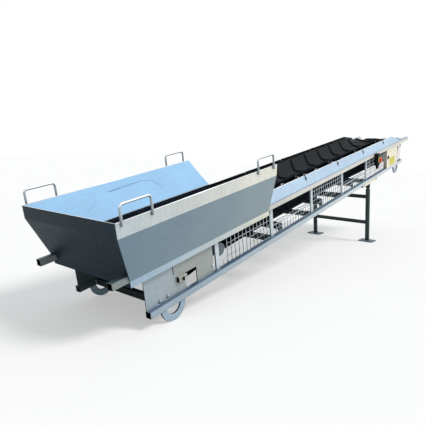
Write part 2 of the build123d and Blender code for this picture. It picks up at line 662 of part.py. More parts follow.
def idler_frames():
    """A bar on edge under each idler, lugs at its rollers' ends, hooked over slots in the skirts."""
    outline, _ = idler_bar()
    points = outline + [(-v, w) for v, w in reversed(outline)]
    half = BAR_THICKNESS / 2
    bar = long_profile(points, -half, half)
    drop = 2 * ROLLER_RADIUS + BAR_CLEARANCE + BAR_DEPTH / 2
    top = ROLLER_RADIUS - LUG_RISE
    middle_end = (TROUGH_FLAT - ROLLER_GAP) / 2
    inner = [(middle_end, CARRY_HEIGHT - top), wing_axis(ROLLER_GAP, top), wing_axis(ROLLER_GAP, drop),
             (middle_end, CARRY_HEIGHT - drop)]
    outer = [wing_axis(WING, top), wing_axis(WING + LUG_THICKNESS, top),
             wing_axis(WING + LUG_THICKNESS, drop), wing_axis(WING, drop)]
    for lug in (inner, outer):
        piece = long_profile(lug, -half, half)
        bar = bar + piece + far(piece)
    return group([Pos(u, 0, 0) * bar for u in IDLERS])


# Skirts, hopper and its handles

def skirt():
    """A sheet on the upper rail leaning in towards the belt, low at the head, slotted at each idler."""
    points = [(SKIRT_FOOT_FACE, FRAME_HEIGHT), (SKIRT_TOP_FACE, SKIRT_TOP),
              (SKIRT_TOP_FACE - SKIRT_SHEET, SKIRT_TOP),
              (skirt_face(FRAME_HEIGHT + SKIRT_SHEET) - SKIRT_SHEET, FRAME_HEIGHT + SKIRT_SHEET),
              (SKIRT_FOOT_FACE - SKIRT_FOOT, FRAME_HEIGHT + SKIRT_SHEET),
              (SKIRT_FOOT_FACE - SKIRT_FOOT, FRAME_HEIGHT)]
    sheet = long_profile([(-v, w) for v, w in points], SKIRT_START, SKIRT_END)
    end = FRAME_HEIGHT + SKIRT_END_HEIGHT
    taper = side_sheet([(SKIRT_TAPER_START, SKIRT_TOP), (SKIRT_END, end), (SKIRT_END + OVERRUN, end),
                        (SKIRT_END + OVERRUN, SKIRT_TOP + OVERRUN),
                        (SKIRT_TAPER_START, SKIRT_TOP + OVERRUN)], -HALF_WIDTH, -INNER_FACE + OVERRUN)
    _, seat = idler_bar()
    slots = [block(u - SKIRT_SLOT_WIDTH / 2, u + SKIRT_SLOT_WIDTH / 2, -HALF_WIDTH, -INNER_FACE + OVERRUN,
                   seat[1] - SKIRT_SHEET, SKIRT_TOP + OVERRUN) for u in IDLERS]
    hole = rod(SKIRT_END - SKIRT_HOLE_INSET, end - 2 * SKIRT_HOLE_RADIUS, SKIRT_HOLE_RADIUS,
               -HALF_WIDTH, -INNER_FACE)
    return sheet.cut(taper, hole, *slots)


def hopper_outline(inset):
    """Half of the hopper's section from the flange up, drawn in by a thickness."""
    return [(FLANGE_FACE - inset, FLANGE_BOTTOM), (FLANGE_FACE - inset, FLANGE_TOP),
            (HOPPER_HALF_WIDTH - inset, LIP_BOTTOM), (HOPPER_HALF_WIDTH - inset, HOPPER_TOP)]


def front_outline(inset):
    """The hopper's front seen from the side, from its foot up, drawn in by a thickness."""
    return [(HOPPER_FRONT_FOOT + inset, FLANGE_BOTTOM), (HOPPER_FRONT_FOOT + inset, FLANGE_TOP),
            (HOPPER_FRONT_TOP + inset, LIP_BOTTOM), (HOPPER_FRONT_TOP + inset, HOPPER_TOP)]


def hopper_side(inset):
    """The hopper's side view as a block, its front drawn in by a thickness."""
    rear = [(HOPPER_REAR_TOP, HOPPER_TOP), (HOPPER_REAR_BEND, LIP_BOTTOM),
            (HOPPER_REAR_FOOT, FLANGE_TOP), (HOPPER_REAR_FOOT, FLANGE_BOTTOM)]
    return side_sheet(front_outline(inset) + rear, -HOPPER_HALF_WIDTH - OVERRUN, 0)


def lining_line():
    """Ends of the lining's inner face: inside the lip's top edge, and above the belt's edge."""
    across, height = trough_point(BELT_WIDTH / 2, TROUGH_ANGLE)
    top = (HOPPER_HALF_WIDTH - HOPPER_SHEET, HOPPER_TOP)
    return top, (across - LINING_INSET, CARRY_HEIGHT + height + LINING_RISE)


def lining_slope():
    """Rise of the lining for each millimetre across."""
    top, foot = lining_line()
    return (top[1] - foot[1]) / (top[0] - foot[0])


def lining_drop():
    """The lining's thickness, measured upright."""
    return HOPPER_SHEET * hypot(1, lining_slope())


def hopper_wall():
    """One side wall: an upright lip, a slope, a flange bolted to the rail's outer face and a lining.

    The lining is a flat sheet from the lip's top edge down to the belt's edge."""
    section = hopper_outline(0) + list(reversed(hopper_outline(HOPPER_SHEET)))
    wall = long_profile([(-v, w) for v, w in section], HOPPER_FRONT_TOP, HOPPER_REAR_TOP)
    top, foot = lining_line()
    drop = lining_drop()
    section = [top, foot, (foot[0], foot[1] - drop), (top[0], top[1] - drop)]
    lining = long_profile([(-v, w) for v, w in section], HOPPER_FRONT_TOP, HOPPER_REAR_TOP)
    return (wall & hopper_side(0)) + (lining & hopper_side(HOPPER_SHEET))


def hopper_front():
    """The front plate, bent like the walls and notched round the upper rails."""
    sheet = side_sheet(front_outline(0) + list(reversed(front_outline(HOPPER_SHEET))),
                       -HOPPER_HALF_WIDTH, HOPPER_HALF_WIDTH)
    inside = hopper_outline(HOPPER_SHEET)
    room = long_profile(inside + [(-v, w) for v, w in reversed(inside)],
                        HOPPER_FRONT_TOP, HOPPER_FRONT_FOOT + HOPPER_SHEET)
    rail_notch = block(HOPPER_FRONT_TOP, HOPPER_FRONT_FOOT + HOPPER_SHEET, -HALF_WIDTH, -INNER_FACE,
                       UPPER_UNDERSIDE, FRAME_HEIGHT)
    return (sheet & room) - rail_notch - far(rail_notch)


def hopper_aprons():
    """Rubber strips that hang from the linings and close the hopper's sides down to the belt."""
    _, (inner, height) = lining_line()
    outer = inner + APRON_THICKNESS
    top = height - lining_drop()
    belt_across, belt_height = trough_point(BELT_WIDTH / 2, TROUGH_ANGLE)
    slope = tan(radians(TROUGH_ANGLE))
    low = CARRY_HEIGHT + belt_height + APRON_GAP - (belt_across - inner) * slope
    points = [(inner, top), (outer, top + APRON_THICKNESS * lining_slope()),
              (outer, low + APRON_THICKNESS * slope), (inner, low)]
    strip = long_profile([(-v, w) for v, w in points], HOPPER_FRONT_TOP, HOPPER_REAR_TOP)
    strip = strip & hopper_side(HOPPER_SHEET)
    return group([strip, far(strip)])


def tail_apron():
    """The rubber sheet that slopes from the hopper's front plate down to the belt."""
    start = HOPPER_FRONT_FOOT + HOPPER_SHEET
    (end, low), _, _ = belt_place(TAIL_APRON_REACH)
    low = low + BELT_THICKNESS + CLEAT_HEIGHT + TAIL_APRON_GAP
    top = FRAME_HEIGHT - APRON_THICKNESS
    points = [(start, top), (end, low), (end, low + APRON_THICKNESS), (start, top + APRON_THICKNESS)]
    return side_sheet(points, -INNER_FACE, INNER_FACE)


def handle(start):
    """A bent bar welded to the lip's outer face."""
    step = 2 * pi / HANDLE_SIDES
    across = -HOPPER_HALF_WIDTH - HANDLE_RADIUS * cos(step / 2)
    top = HANDLE_FOOT + HANDLE_LEG
    end = start + HANDLE_SPAN
    path = [(start, HANDLE_FOOT - OVERRUN), (start, HANDLE_FOOT), (start, top - HANDLE_BEND),
            (start + HANDLE_BEND, top), (end - HANDLE_BEND, top), (end, top - HANDLE_BEND),
            (end, HANDLE_FOOT), (end, HANDLE_FOOT - OVERRUN)]
    edges = []
    for i in range(HANDLE_SIDES):
        angle = step * (i + 1 / 2)
        line = outer_points(path, HANDLE_RADIUS * sin(angle))
        edges.append([Vector(u, across + HANDLE_RADIUS * cos(angle), w) for u, w in line])
    return skinned(list(zip(*edges)))


# Controls and the blank plate

def switch_box():
    """The black switch housing on the near upper rail."""
    return block(SWITCH_PLACE - SWITCH_WIDTH / 2, SWITCH_PLACE + SWITCH_WIDTH / 2,
                 -HALF_WIDTH - SWITCH_DEPTH, -HALF_WIDTH, SWITCH_BOTTOM, SWITCH_BOTTOM + SWITCH_HEIGHT)


def power_inlet():
    """The round plug inlet under the switch housing, with its collar."""
    top = Pos(SWITCH_PLACE, -HALF_WIDTH - SWITCH_DEPTH / 2, SWITCH_BOTTOM)
    body = Pos(0, 0, -INLET_LENGTH / 2) * drum(INLET_RADIUS, INLET_LENGTH, CONTROL_SIDES)
    collar = Pos(0, 0, -INLET_COLLAR / 2) * drum(SWITCH_DEPTH / 2, INLET_COLLAR, CONTROL_SIDES)
    return top * (body + collar)


def on_switch(depth, length, radius):
    """A round piece that stands out from the switch housing's front face."""
    middle = -HALF_WIDTH - SWITCH_DEPTH - depth - length / 2
    return Pos(SWITCH_PLACE, middle, BUTTON_HEIGHT) * Rot(90, 0, 0) * drum(radius, length, CONTROL_SIDES)


def stop_button():
    """The red mushroom button."""
    cap = on_switch(COLLAR_DEPTH, BUTTON_DEPTH, BUTTON_RADIUS)
    return chamfer(cap.edges().group_by(Axis.Y)[0], BUTTON_DEPTH / 2)


def blank_plate():
    """The bare yellow plate on the near head plate."""
    return block(BLANK_PLATE_START, BLANK_PLATE_START + BLANK_PLATE_LENGTH,
                 -HALF_WIDTH - BLANK_PLATE_THICKNESS, -HALF_WIDTH,
                 BLANK_PLATE_BOTTOM, BLANK_PLATE_BOTTOM + BLANK_PLATE_HEIGHT)


# Folding stand

def leg_shoe():
    """The angle under the lower rail that carries the leg, with two ears for its pin."""
    outer = -HALF_WIDTH - SHOE_WALL
    u0 = STAND_PLACE - SHOE_LENGTH / 2
    u1 = STAND_PLACE + SHOE_LENGTH / 2
    base = block(u0, u1, outer, -INNER_FACE, -SHOE_BASE, 0)
    lip = block(u0, u1, outer, -HALF_WIDTH, 0, SHOE_LIP)
    inner = -RAIL_MIDDLE + TONGUE_THICKNESS / 2 + EAR_GAP
    ear = block(STAND_PLACE - EAR_RADIUS, STAND_PLACE + EAR_RADIUS, inner, inner + EAR_THICKNESS,
                -PIVOT_DROP, -SHOE_BASE)
    ear = ear + rod(STAND_PLACE, -PIVOT_DROP, EAR_RADIUS, inner, inner + EAR_THICKNESS)
    other = Pos(0, -EAR_THICKNESS - TONGUE_THICKNESS - 2 * EAR_GAP, 0) * ear
    bore = rod(STAND_PLACE, -PIVOT_DROP, PIVOT_RADIUS, outer, -INNER_FACE)
    return base + lip + ear + other - bore


def stand_pin():
    """The pin through one shoe's ears."""
    reach = TONGUE_THICKNESS / 2 + EAR_GAP + EAR_THICKNESS + PIN_END
    return rod(STAND_PLACE, -PIVOT_DROP, PIVOT_RADIUS, -RAIL_MIDDLE - reach, -RAIL_MIDDLE + reach)


def to_level(shape):
    """From the floor's frame back to the level frame."""
    return Rot(0, INCLINE, 0) * Pos(0, 0, -FLOOR_LIFT) * shape


def leg_foot():
    """Where the leg's axis meets the base plate's top, as a height in the level frame and a place on X."""
    slope = radians(INCLINE)
    height = (BASE_PLATE_THICKNESS - FLOOR_LIFT - STAND_PLACE * sin(slope)) / cos(slope)
    return height, STAND_PLACE * cos(slope) - height * sin(slope)


def stand_leg():
    """A round leg with a tongue at its top, its foot cut level with the floor."""
    top = -PIVOT_DROP - TONGUE_LENGTH
    height, place = leg_foot()
    length = top - height + 2 * LEG_RADIUS
    tube = Pos(STAND_PLACE, -RAIL_MIDDLE, top - length / 2) * Cylinder(LEG_RADIUS, length)
    under = Pos(place, -RAIL_MIDDLE, BASE_PLATE_THICKNESS - BASE_PLATE / 2) * Box(*[BASE_PLATE] * 3)
    half = TONGUE_THICKNESS / 2
    tongue = block(STAND_PLACE - TONGUE_RADIUS, STAND_PLACE + TONGUE_RADIUS,
                   -RAIL_MIDDLE - half, -RAIL_MIDDLE + half, top, -PIVOT_DROP)
    tongue = tongue + rod(STAND_PLACE, -PIVOT_DROP, TONGUE_RADIUS, -RAIL_MIDDLE - half, -RAIL_MIDDLE + half)
    bore = rod(STAND_PLACE, -PIVOT_DROP, PIVOT_RADIUS + PIN_CLEARANCE, -HALF_WIDTH, -INNER_FACE)
    return tube - to_level(under) + (tongue - bore)


def crossbars():
    """Two round bars between the legs, their ends shaped to the tubes."""
    reach = RAIL_MIDDLE
    bars = []
    for height in (UPPER_CROSSBAR, LOWER_CROSSBAR):
        bar = rod(STAND_PLACE, height, CROSSBAR_RADIUS, -reach, reach)
        for side in (-1, 1):
            bar = bar - Pos(STAND_PLACE, side * RAIL_MIDDLE, height) * Cylinder(LEG_RADIUS, 4 * LEG_RADIUS)
        bars.append(bar)
    return group(bars)


def base_plate():
    """The square foot plate with rounded corners, flat on the floor."""
    _, place = leg_foot()
    plate = Box(BASE_PLATE, BASE_PLATE, BASE_PLATE_THICKNESS)
    plate = Pos(place, -RAIL_MIDDLE, BASE_PLATE_THICKNESS / 2) * plate
    return to_level(fillet(plate.edges().filter_by(Axis.Z), BASE_PLATE_CORNER))


PAIRS = {
    "rail_upper": rail(UPPER_RAIL_START, UPPER_RAIL_END, UPPER_UNDERSIDE),
    "rail_lower": rail(0, LOWER_RAIL_LENGTH, 0),
    "posts": posts(),
    "foot_plate": foot_plate(),
    "head_plate": head_plate(),
    "lifting_eyes": group([eye(FOOT_EYE_PLACE), eye(HEAD_EYE_PLACE)]),
    "guards_full": full_guards(),
    "guards_half": group([half_guard(1), half_guard(3)]),
    "skirt": skirt(),
    "hopper_wall": hopper_wall(),
    "hopper_handles": group([handle(FRONT_HANDLE_START), handle(REAR_HANDLE_START)]),
    "leg_shoe": leg_shoe(),
    "stand_leg": stand_leg(),
    "base_plate": base_plate(),
}
SINGLES = {
    "cross_tubes": cross_tubes(),
    "hopper_front": hopper_front(),
    "hopper_aprons": hopper_aprons(),
    "tail_apron": tail_apron(),
    "belt": belt(),
    "head_drum": head_drum(),
    "tail_drum": tail_drum(),
    "take_up_blocks": group([take_up_block(), far(take_up_block())]),
    "snub_rollers": snub_rollers(),
    "return_rollers": return_rollers(),
    "return_brackets": return_brackets(),
    "idler_rollers": idler_rollers(),
    "idler_frames": idler_frames(),
    "switch_box": switch_box(),
    "power_inlet": power_inlet(),
    "stop_collar": on_switch(0, COLLAR_DEPTH, COLLAR_RADIUS),
    "stop_button": stop_button(),
    "blank_plate": blank_plate(),
    "stand_pins": group([stand_pin(), far(stand_pin())]),
    "stand_crossbars": crossbars(),
}


def tip_up(shape):
    """From the level frame to the slope at which the conveyor stands, with its foot eyes on the floor."""
    return Pos(0, 0, FLOOR_LIFT) * Rot(0, -INCLINE, 0) * shape


PIECES = {name: tip_up(shape) for name, shape in SINGLES.items()}
for name, shape in PAIRS.items():
    PIECES[name + "_near"] = tip_up(shape)
    PIECES[name + "_far"] = tip_up(far(shape))
BOXES = [shape.bounding_box() for shape in PIECES.values()]
MIDDLE = (min(box.min.X for box in BOXES) + max(box.max.X for box in BOXES)) / 2
for name, shape in PIECES.items():
    export_step(Pos(-MIDDLE, 0, 0) * shape, "parts/" + name + ".step")
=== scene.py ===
from math import acos, atan2, ceil, cos, degrees, hypot, pi, radians, sin, sqrt, tan
import bpy
import bmesh
from mathutils import Matrix, Vector


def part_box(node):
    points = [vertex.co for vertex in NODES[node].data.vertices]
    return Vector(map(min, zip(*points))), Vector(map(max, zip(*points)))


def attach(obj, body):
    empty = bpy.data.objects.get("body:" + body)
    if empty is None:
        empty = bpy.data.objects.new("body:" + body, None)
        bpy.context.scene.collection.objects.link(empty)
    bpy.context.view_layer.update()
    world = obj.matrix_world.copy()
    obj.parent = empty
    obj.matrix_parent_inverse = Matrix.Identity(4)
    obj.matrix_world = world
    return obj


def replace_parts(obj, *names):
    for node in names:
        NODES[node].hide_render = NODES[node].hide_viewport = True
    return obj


# Looks for the belt conveyor. Geometry is drawn in the level frame in millimetres, u along the rails
# towards the head, v across (near side below zero), w square to the rails, then tipped up into place.

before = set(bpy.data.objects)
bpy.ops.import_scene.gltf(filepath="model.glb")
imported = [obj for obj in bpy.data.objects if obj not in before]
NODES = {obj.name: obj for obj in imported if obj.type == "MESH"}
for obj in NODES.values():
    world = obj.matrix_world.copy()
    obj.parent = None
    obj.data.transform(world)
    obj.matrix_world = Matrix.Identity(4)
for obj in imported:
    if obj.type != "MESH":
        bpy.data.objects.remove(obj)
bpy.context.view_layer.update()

INCLINE = radians(10.7)
UPPER_RAIL_END = 4982.0
UPPER_RAIL_UNDERSIDE = 266.0
EYE_RADIUS = 102.0
FOOT_EYE_PLACE = 194.0
HEAD_EYE_PLACE = 4480.0
HALF_WIDTH = 350.0
RAIL = 40.0
INNER_FACE = HALF_WIDTH - RAIL
RAIL_MIDDLE = HALF_WIDTH - RAIL / 2
FRAME_HEIGHT = 306.0
WEB_FACE = 322.0
HOPPER_HALF_WIDTH = 426.0
HOPPER_TOP = 621.0
FLANGE_TOP = 273.0
LINING_LINE = ((421.0, HOPPER_TOP), (211.0, 436.6))
SKIRT_TOP = 397.0
SKIRT_LEAN = 28.0 / 91.0
STAND_PLACE = 3450.0
PIVOT_DROP = 52.0
SHOE_BASE = 14.0
SHOE_WALL = 8.0

LIFT = EYE_RADIUS - FOOT_EYE_PLACE * sin(INCLINE)
HEAD_REACH = UPPER_RAIL_END * cos(INCLINE) - UPPER_RAIL_UNDERSIDE * sin(INCLINE)
MIDDLE = HEAD_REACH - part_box("rail_upper_near")[1].x * 1000
TO_ROW = (Matrix.Scale(0.001, 4) @ Matrix.Translation((-MIDDLE, 0, LIFT))
          @ Matrix.Rotation(-INCLINE, 4, "Y"))

# Camera, solved from the photograph in the level frame
CAMERA_PLACE = (-1344.0, -1971.0, 1179.0)
CAMERA_YAW = 0.695
CAMERA_PITCH = -0.283
CAMERA_ROLL = -0.089
PHOTO_SIZE = 425.0
FOCAL_PIXELS = 424.5
SENSOR = 36.0


def make_camera():
    forward = Vector((cos(CAMERA_PITCH) * cos(CAMERA_YAW), cos(CAMERA_PITCH) * sin(CAMERA_YAW),
                      sin(CAMERA_PITCH)))
    level_right = Vector((sin(CAMERA_YAW), -cos(CAMERA_YAW), 0))
    level_up = level_right.cross(forward)
    right = level_right * cos(CAMERA_ROLL) + level_up * sin(CAMERA_ROLL)
    up = level_up * cos(CAMERA_ROLL) - level_right * sin(CAMERA_ROLL)
    turn = Matrix.Rotation(-INCLINE, 3, "Y") @ Matrix((right, up, -forward)).transposed()
    data = bpy.data.cameras.new("camera")
    data.sensor_width = SENSOR
    data.lens = SENSOR * FOCAL_PIXELS / PHOTO_SIZE
    camera = bpy.data.objects.new("camera", data)
    bpy.context.scene.collection.objects.link(camera)
    camera.matrix_world = Matrix.Translation(TO_ROW @ Vector(CAMERA_PLACE)) @ turn.to_4x4()
    bpy.context.scene.camera = camera


# Materials

def linear(r, g, b):
    """A colour written in 0 to 255 as the linear colour a shader takes."""
    return tuple((c / 255 / 12.92 if c <= 10 else ((c / 255 + 0.055) / 1.055) ** 2.4)
                 for c in (r, g, b)) + (1.0,)


class Shader:
    """A material under construction: its node tree and its main shader."""

    def __init__(self, name, metallic=0.0, roughness=0.5):
        self.material = bpy.data.materials.new(name)
        self.material.use_nodes = True
        self.tree = self.material.node_tree
        self.main = self.tree.nodes["Principled BSDF"]
        self.main.inputs["Metallic"].default_value = metallic
        self.main.inputs["Roughness"].default_value = roughness
        self.place = self.add("TexCoord").outputs["Object"]

    def add(self, kind, inputs=None, **settings):
        made = self.tree.nodes.new("ShaderNode" + kind)
        for key, value in settings.items():
            setattr(made, key, value)
        for key, value in (inputs or {}).items():
            self.feed(made.inputs[key], value)
        return made

    def feed(self, socket, value):
        if isinstance(value, bpy.types.NodeSocket):
            self.tree.links.new(value, socket)
        else:
            socket.default_value = value

    def noise(self, scale, detail=2.0, stretch=None, rough=0.5):
        place = self.place
        if stretch:
            place = self.add("Mapping", {"Vector": place, "Scale": stretch}).outputs[0]
        return self.add("TexNoise", {"Vector": place, "Scale": scale, "Detail": detail,
                                     "Roughness": rough}).outputs["Fac"]

    def span(self, value, low, high, to_low, to_high, smooth=False):
        made = self.add("MapRange", {"Value": value, "From Min": low, "From Max": high,
                                     "To Min": to_low, "To Max": to_high})
        if smooth:
            made.interpolation_type = "SMOOTHSTEP"
        return made.outputs[0]

    def math(self, kind, a, b):
        return self.add("Math", {0: a, 1: b}, operation=kind).outputs[0]

    def plain(self, colour):
        made = self.add("RGB")
        made.outputs[0].default_value = colour
        return made.outputs[0]

    def scaled(self, colour, amount):
        return self.add("VectorMath", {0: colour, "Scale": amount}, operation="SCALE").outputs[0]

    def mix(self, share, a, b, blend="MIX"):
        made = self.add("Mix", {0: share, 6: a, 7: b}, data_type="RGBA", blend_type=blend)
        return made.outputs[2]

    def colour(self, value):
        self.feed(self.main.inputs["Base Color"], value)

    def bump(self, height, strength, distance=0.001):
        made = self.add("Bump", {"Height": height, "Strength": strength, "Distance": distance})
        self.feed(self.main.inputs["Normal"], made.outputs[0])


def galvanised(name, down, side, up, streak=0.05, metallic=0.35, rough=0.46, left=(1, 1, 1),
               right=(1, 1, 1), reach=(-2.4, 0.6), spangle=0.05, shine=0.3):
    """Zinc-coated sheet with painted sky light and shade: its tone follows how far a face looks up or down.

    Left and right multiply that tone at both ends of a reach along the conveyor, in metres, as painted light
    and shade along it. Crystals, broad patches, runs down the sheet, fine grain and dark specks each vary it
    a little."""
    s = Shader(name, metallic)
    s.main.inputs["Specular IOR Level"].default_value = shine
    # Painted sky light and shade: faces that look up, sideways and down each take their own tone
    normal = s.add("TexCoord").outputs["Normal"]
    level = s.span(s.add("SeparateXYZ", {0: normal}).outputs[2], -1, 1, 0, 1)
    ramp = s.add("ValToRGB", {0: level})
    stops = [(0.0, [c * 0.8 for c in down]), (0.385, down), (0.46, side), (0.53, side), (0.615, up),
             (1.0, [c * 0.97 for c in up])]
    while len(ramp.color_ramp.elements) < len(stops):
        ramp.color_ramp.elements.new(1.0)
    for element, (at, colour) in zip(ramp.color_ramp.elements, stops):
        element.position = at
        element.color = linear(*colour)
    along = s.span(s.add("SeparateXYZ", {0: s.place}).outputs[0], *reach, 0, 1)
    base = s.mix(1.0, ramp.outputs[0], s.mix(along, (*left, 1), (*right, 1)), "MULTIPLY")
    cells = s.add("TexVoronoi", {"Vector": s.place, "Scale": 95.0})
    grain = s.add("SeparateXYZ", {0: cells.outputs["Color"]}).outputs[0]
    amount = s.span(grain, 0, 1, 1 - spangle, 1 + spangle)
    patches = s.span(s.noise(3.1, 4), 0.3, 0.7, 0.95, 1.05)
    runs = s.span(s.noise(1.0, 3, (170, 170, 7)), 0.3, 0.7, 1 - streak, 1 + streak)
    fine = s.span(s.noise(420, 1), 0.2, 0.8, 0.955, 1.045)
    specks = s.span(s.noise(150, 2, rough=0.7), 0.71, 0.78, 1.0, 0.72)
    for factor in (patches, runs, fine, specks):
        amount = s.math("MULTIPLY", amount, factor)
    s.colour(s.scaled(base, amount))
    s.feed(s.main.inputs["Roughness"], s.span(grain, 0, 1, rough - 0.06, rough + 0.07))
    s.bump(s.math("ADD", s.math("MULTIPLY", grain, 0.4), s.noise(60, 3)), 0.09)
    return s.material


def rubber(name, colour, dust, rough=0.75, grain=260):
    """Black rubber with a little dust and a fine grain."""
    s = Shader(name, 0.0, rough)
    patches = s.span(s.noise(6, 5, rough=0.6), 0.42, 0.7, 0, 1, True)
    base = s.mix(patches, linear(*colour), linear(*dust))
    amount = s.span(s.noise(grain, 2), 0.3, 0.7, 0.85, 1.15)
    s.colour(s.scaled(base, amount))
    s.feed(s.main.inputs["Roughness"], s.span(patches, 0, 1, rough - 0.04, rough + 0.12))
    s.main.inputs["Specular IOR Level"].default_value = 0.1
    s.bump(s.noise(grain, 3), 0.25)
    return s.material


def plastic(name, colour, rough=0.42, wear=0.06, shine=0.4):
    """Moulded plastic or paint with a faint texture."""
    s = Shader(name, 0.0, rough)
    s.main.inputs["Specular IOR Level"].default_value = shine
    amount = s.math("MULTIPLY", s.span(s.noise(9, 4), 0.3, 0.7, 1 - wear, 1 + wear),
                    s.span(s.noise(600, 1), 0.3, 0.7, 0.97, 1.03))
    s.colour(s.scaled(s.plain(linear(*colour)), amount))
    s.feed(s.main.inputs["Roughness"], s.span(s.noise(40, 3), 0.3, 0.7, rough - 0.06, rough + 0.08))
    s.bump(s.noise(700, 2), 0.12, 0.0004)
    return s.material


# Tones of faces that look down, sideways and up, painted sky light and shade; the hopper's run from blue-grey
# to cream is painted light along it
HOPPER_LIGHT_RUN = dict(left=(0.78, 0.84, 0.91), right=(1.27, 1.2, 1.1), reach=(-2.45, -1.0))
SHEET = galvanised("hopper_zinc", (127, 146, 156), (206, 208, 204), (158, 203, 240), 0.07, **HOPPER_LIGHT_RUN)
# The far lining's sky blue is a painted sky reflection
LINING = galvanised("lining_sky_reflection", (120, 140, 152), (141, 182, 215), (154, 198, 234), 0.04,
                    metallic=0.1, rough=0.6)
# The flange runs from blue-grey at the foot to cream at the head: painted light along it
FLANGE = galvanised("flange_zinc", (127, 146, 156), (190, 202, 208), (190, 202, 210), 0.03,
                    left=(0.62, 0.74, 0.86), right=(1.38, 1.18, 0.92), reach=(-2.3, -1.0))
# Near-white of top edges and rolled edges: a painted highlight
EDGE = galvanised("edge_highlight", (200, 206, 210), (236, 240, 242), (246, 248, 249), 0.0)
# The hopper front's dark blue-grey is painted shade
FRONT = galvanised("front_zinc_shade", (28, 44, 54), (20, 34, 45), (80, 104, 122), 0.04, shine=0.12)
FRAME = galvanised("frame_zinc", (112, 124, 132), (196, 206, 212), (132, 152, 168), 0.03)
# Both rails darker towards the foot by their left tone: painted shade
LOWER = galvanised("lower_zinc", (112, 124, 132), (204, 214, 218), (132, 152, 170), 0.03,
                   left=(0.52, 0.58, 0.65), reach=(-1.8, 0.7))
UPPER = galvanised("upper_zinc", (122, 132, 136), (208, 209, 202), (148, 163, 176), 0.03,
                   left=(0.36, 0.4, 0.42), right=(1.04, 1.02, 1.0), reach=(-2.3, -0.6))
SKIRT = galvanised("skirt_zinc", (120, 136, 150), (178, 200, 218), (180, 203, 224), 0.03, spangle=0.09)
PLATE = galvanised("plate_zinc", (112, 118, 120), (166, 173, 173), (170, 180, 186), 0.03,
                   left=(0.86, 0.94, 1.04), right=(1.06, 1.02, 0.94), reach=(-2.25, -1.7))
HEAD = galvanised("head_zinc", (170, 166, 150), (236, 230, 206), (220, 220, 210), 0.02, reach=(1.9, 2.2),
                  right=(0.89, 0.9, 1.04))
SHOE = galvanised("shoe_zinc", (150, 148, 138), (230, 225, 205), (214, 214, 206), 0.02)
BEARING = galvanised("bearing_zinc", (170, 168, 160), (224, 224, 220), (220, 222, 220), 0.02)
COVER = galvanised("cover_zinc", (112, 114, 110), (155, 160, 158), (168, 172, 170), 0.03)
TAKE_UP = galvanised("take_up_zinc", (104, 106, 98), (160, 162, 150), (184, 186, 176), 0.02)
HANDLE = galvanised("handle_zinc", (134, 144, 150), (176, 186, 192), (226, 232, 236), 0.0, spangle=0.03)
EYE = galvanised("eye_zinc", (96, 106, 112), (152, 172, 187), (160, 178, 190), 0.02)
SCUFF = galvanised("scuff", (70, 100, 130), (94, 128, 160), (104, 140, 174), 0.0, shine=0.1)
WIRE = galvanised("wire_zinc", (150, 160, 164), (196, 206, 210), (205, 216, 226), 0.0, spangle=0.03)
# The stand's legs and cross tubes are painted dark: painted shade
LEG = galvanised("leg_zinc_shade", (44, 54, 54), (64, 79, 81), (92, 108, 118), 0.05, shine=0.15)
BASE = galvanised("base_zinc", (62, 76, 86), (86, 102, 116), (88, 105, 119), 0.03, shine=0.2)
CROSS = galvanised("cross_zinc_shade", (36, 44, 44), (46, 56, 56), (70, 82, 88), 0.03, shine=0.12)
BELT = rubber("belt_rubber", (26, 30, 33), (38, 42, 45))
# Chevrons darker than the belt: painted shade along them; the belt's edges take the same darker rubber
CLEAT = rubber("cleat_rubber", (11, 13, 15), (17, 20, 22))
# Navy tint on the aprons and the belt's underside: painted sky light in shade
APRON = rubber("apron_rubber", (16, 25, 38), (26, 36, 50))
ROLLER = galvanised("roller_steel", (70, 78, 82), (96, 106, 112), (120, 132, 142), 0.0)
# Drums, rollers and idler frames near-black: painted shade under the belt
ROLLER_SHADE = galvanised("roller_shade", (20, 26, 33), (27, 34, 42), (36, 45, 54), 0.0, shine=0.1)
# Near-black navy on faces in deep shade: painted shade
DEEP_SHADE = galvanised("deep_shade_zinc", (20, 27, 36), (27, 36, 47), (38, 49, 62), 0.03, shine=0.1)
SHADED = galvanised("shaded_zinc", (52, 60, 64), (78, 87, 91), (100, 113, 122), 0.03, shine=0.15)
# Dark grey on weld beads and some bolt heads: painted shade
BEAD_BOLT_SHADE = galvanised("bead_bolt_shade", (70, 78, 82), (92, 100, 104), (110, 122, 130), 0.0, shine=0.2)
# Near-black inside the rails' tubes: painted shade
DARK = galvanised("tube_inside_shade", (12, 14, 16), (15, 17, 19), (18, 21, 24), 0.0, shine=0.05)
BLACK = plastic("black_plastic", (14, 15, 16), 0.5, shine=0.15)
RED = plastic("red_plastic", (205, 48, 34), 0.3)
YELLOW = plastic("yellow_plastic", (228, 208, 70), 0.45)
YELLOW_PLATE = plastic("yellow_plate", (201, 193, 70), 0.5)


# Mesh helpers, all in the level frame

# Outwards on the near side
OUT = (0, -1, 0)


def piece(name, points, faces, material, body, smooth=True, extra=()):
    """A mesh object from level points, riding on a body."""
    mesh = bpy.data.meshes.new(name)
    mesh.from_pydata([TO_ROW @ Vector(p) for p in points], [], faces)
    mesh.validate()
    mesh.update()
    bm = bmesh.new()
    bm.from_mesh(mesh)
    bmesh.ops.recalc_face_normals(bm, faces=bm.faces)
    bm.to_mesh(mesh)
    bm.free()
    if smooth:
        mesh.polygons.foreach_set("use_smooth", [True] * len(mesh.polygons))
    mesh.materials.append(material)
    for other in extra:
        mesh.materials.append(other)
    made = bpy.data.objects.new(name, mesh)
    bpy.context.scene.collection.objects.link(made)
    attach(made, body)
    return made


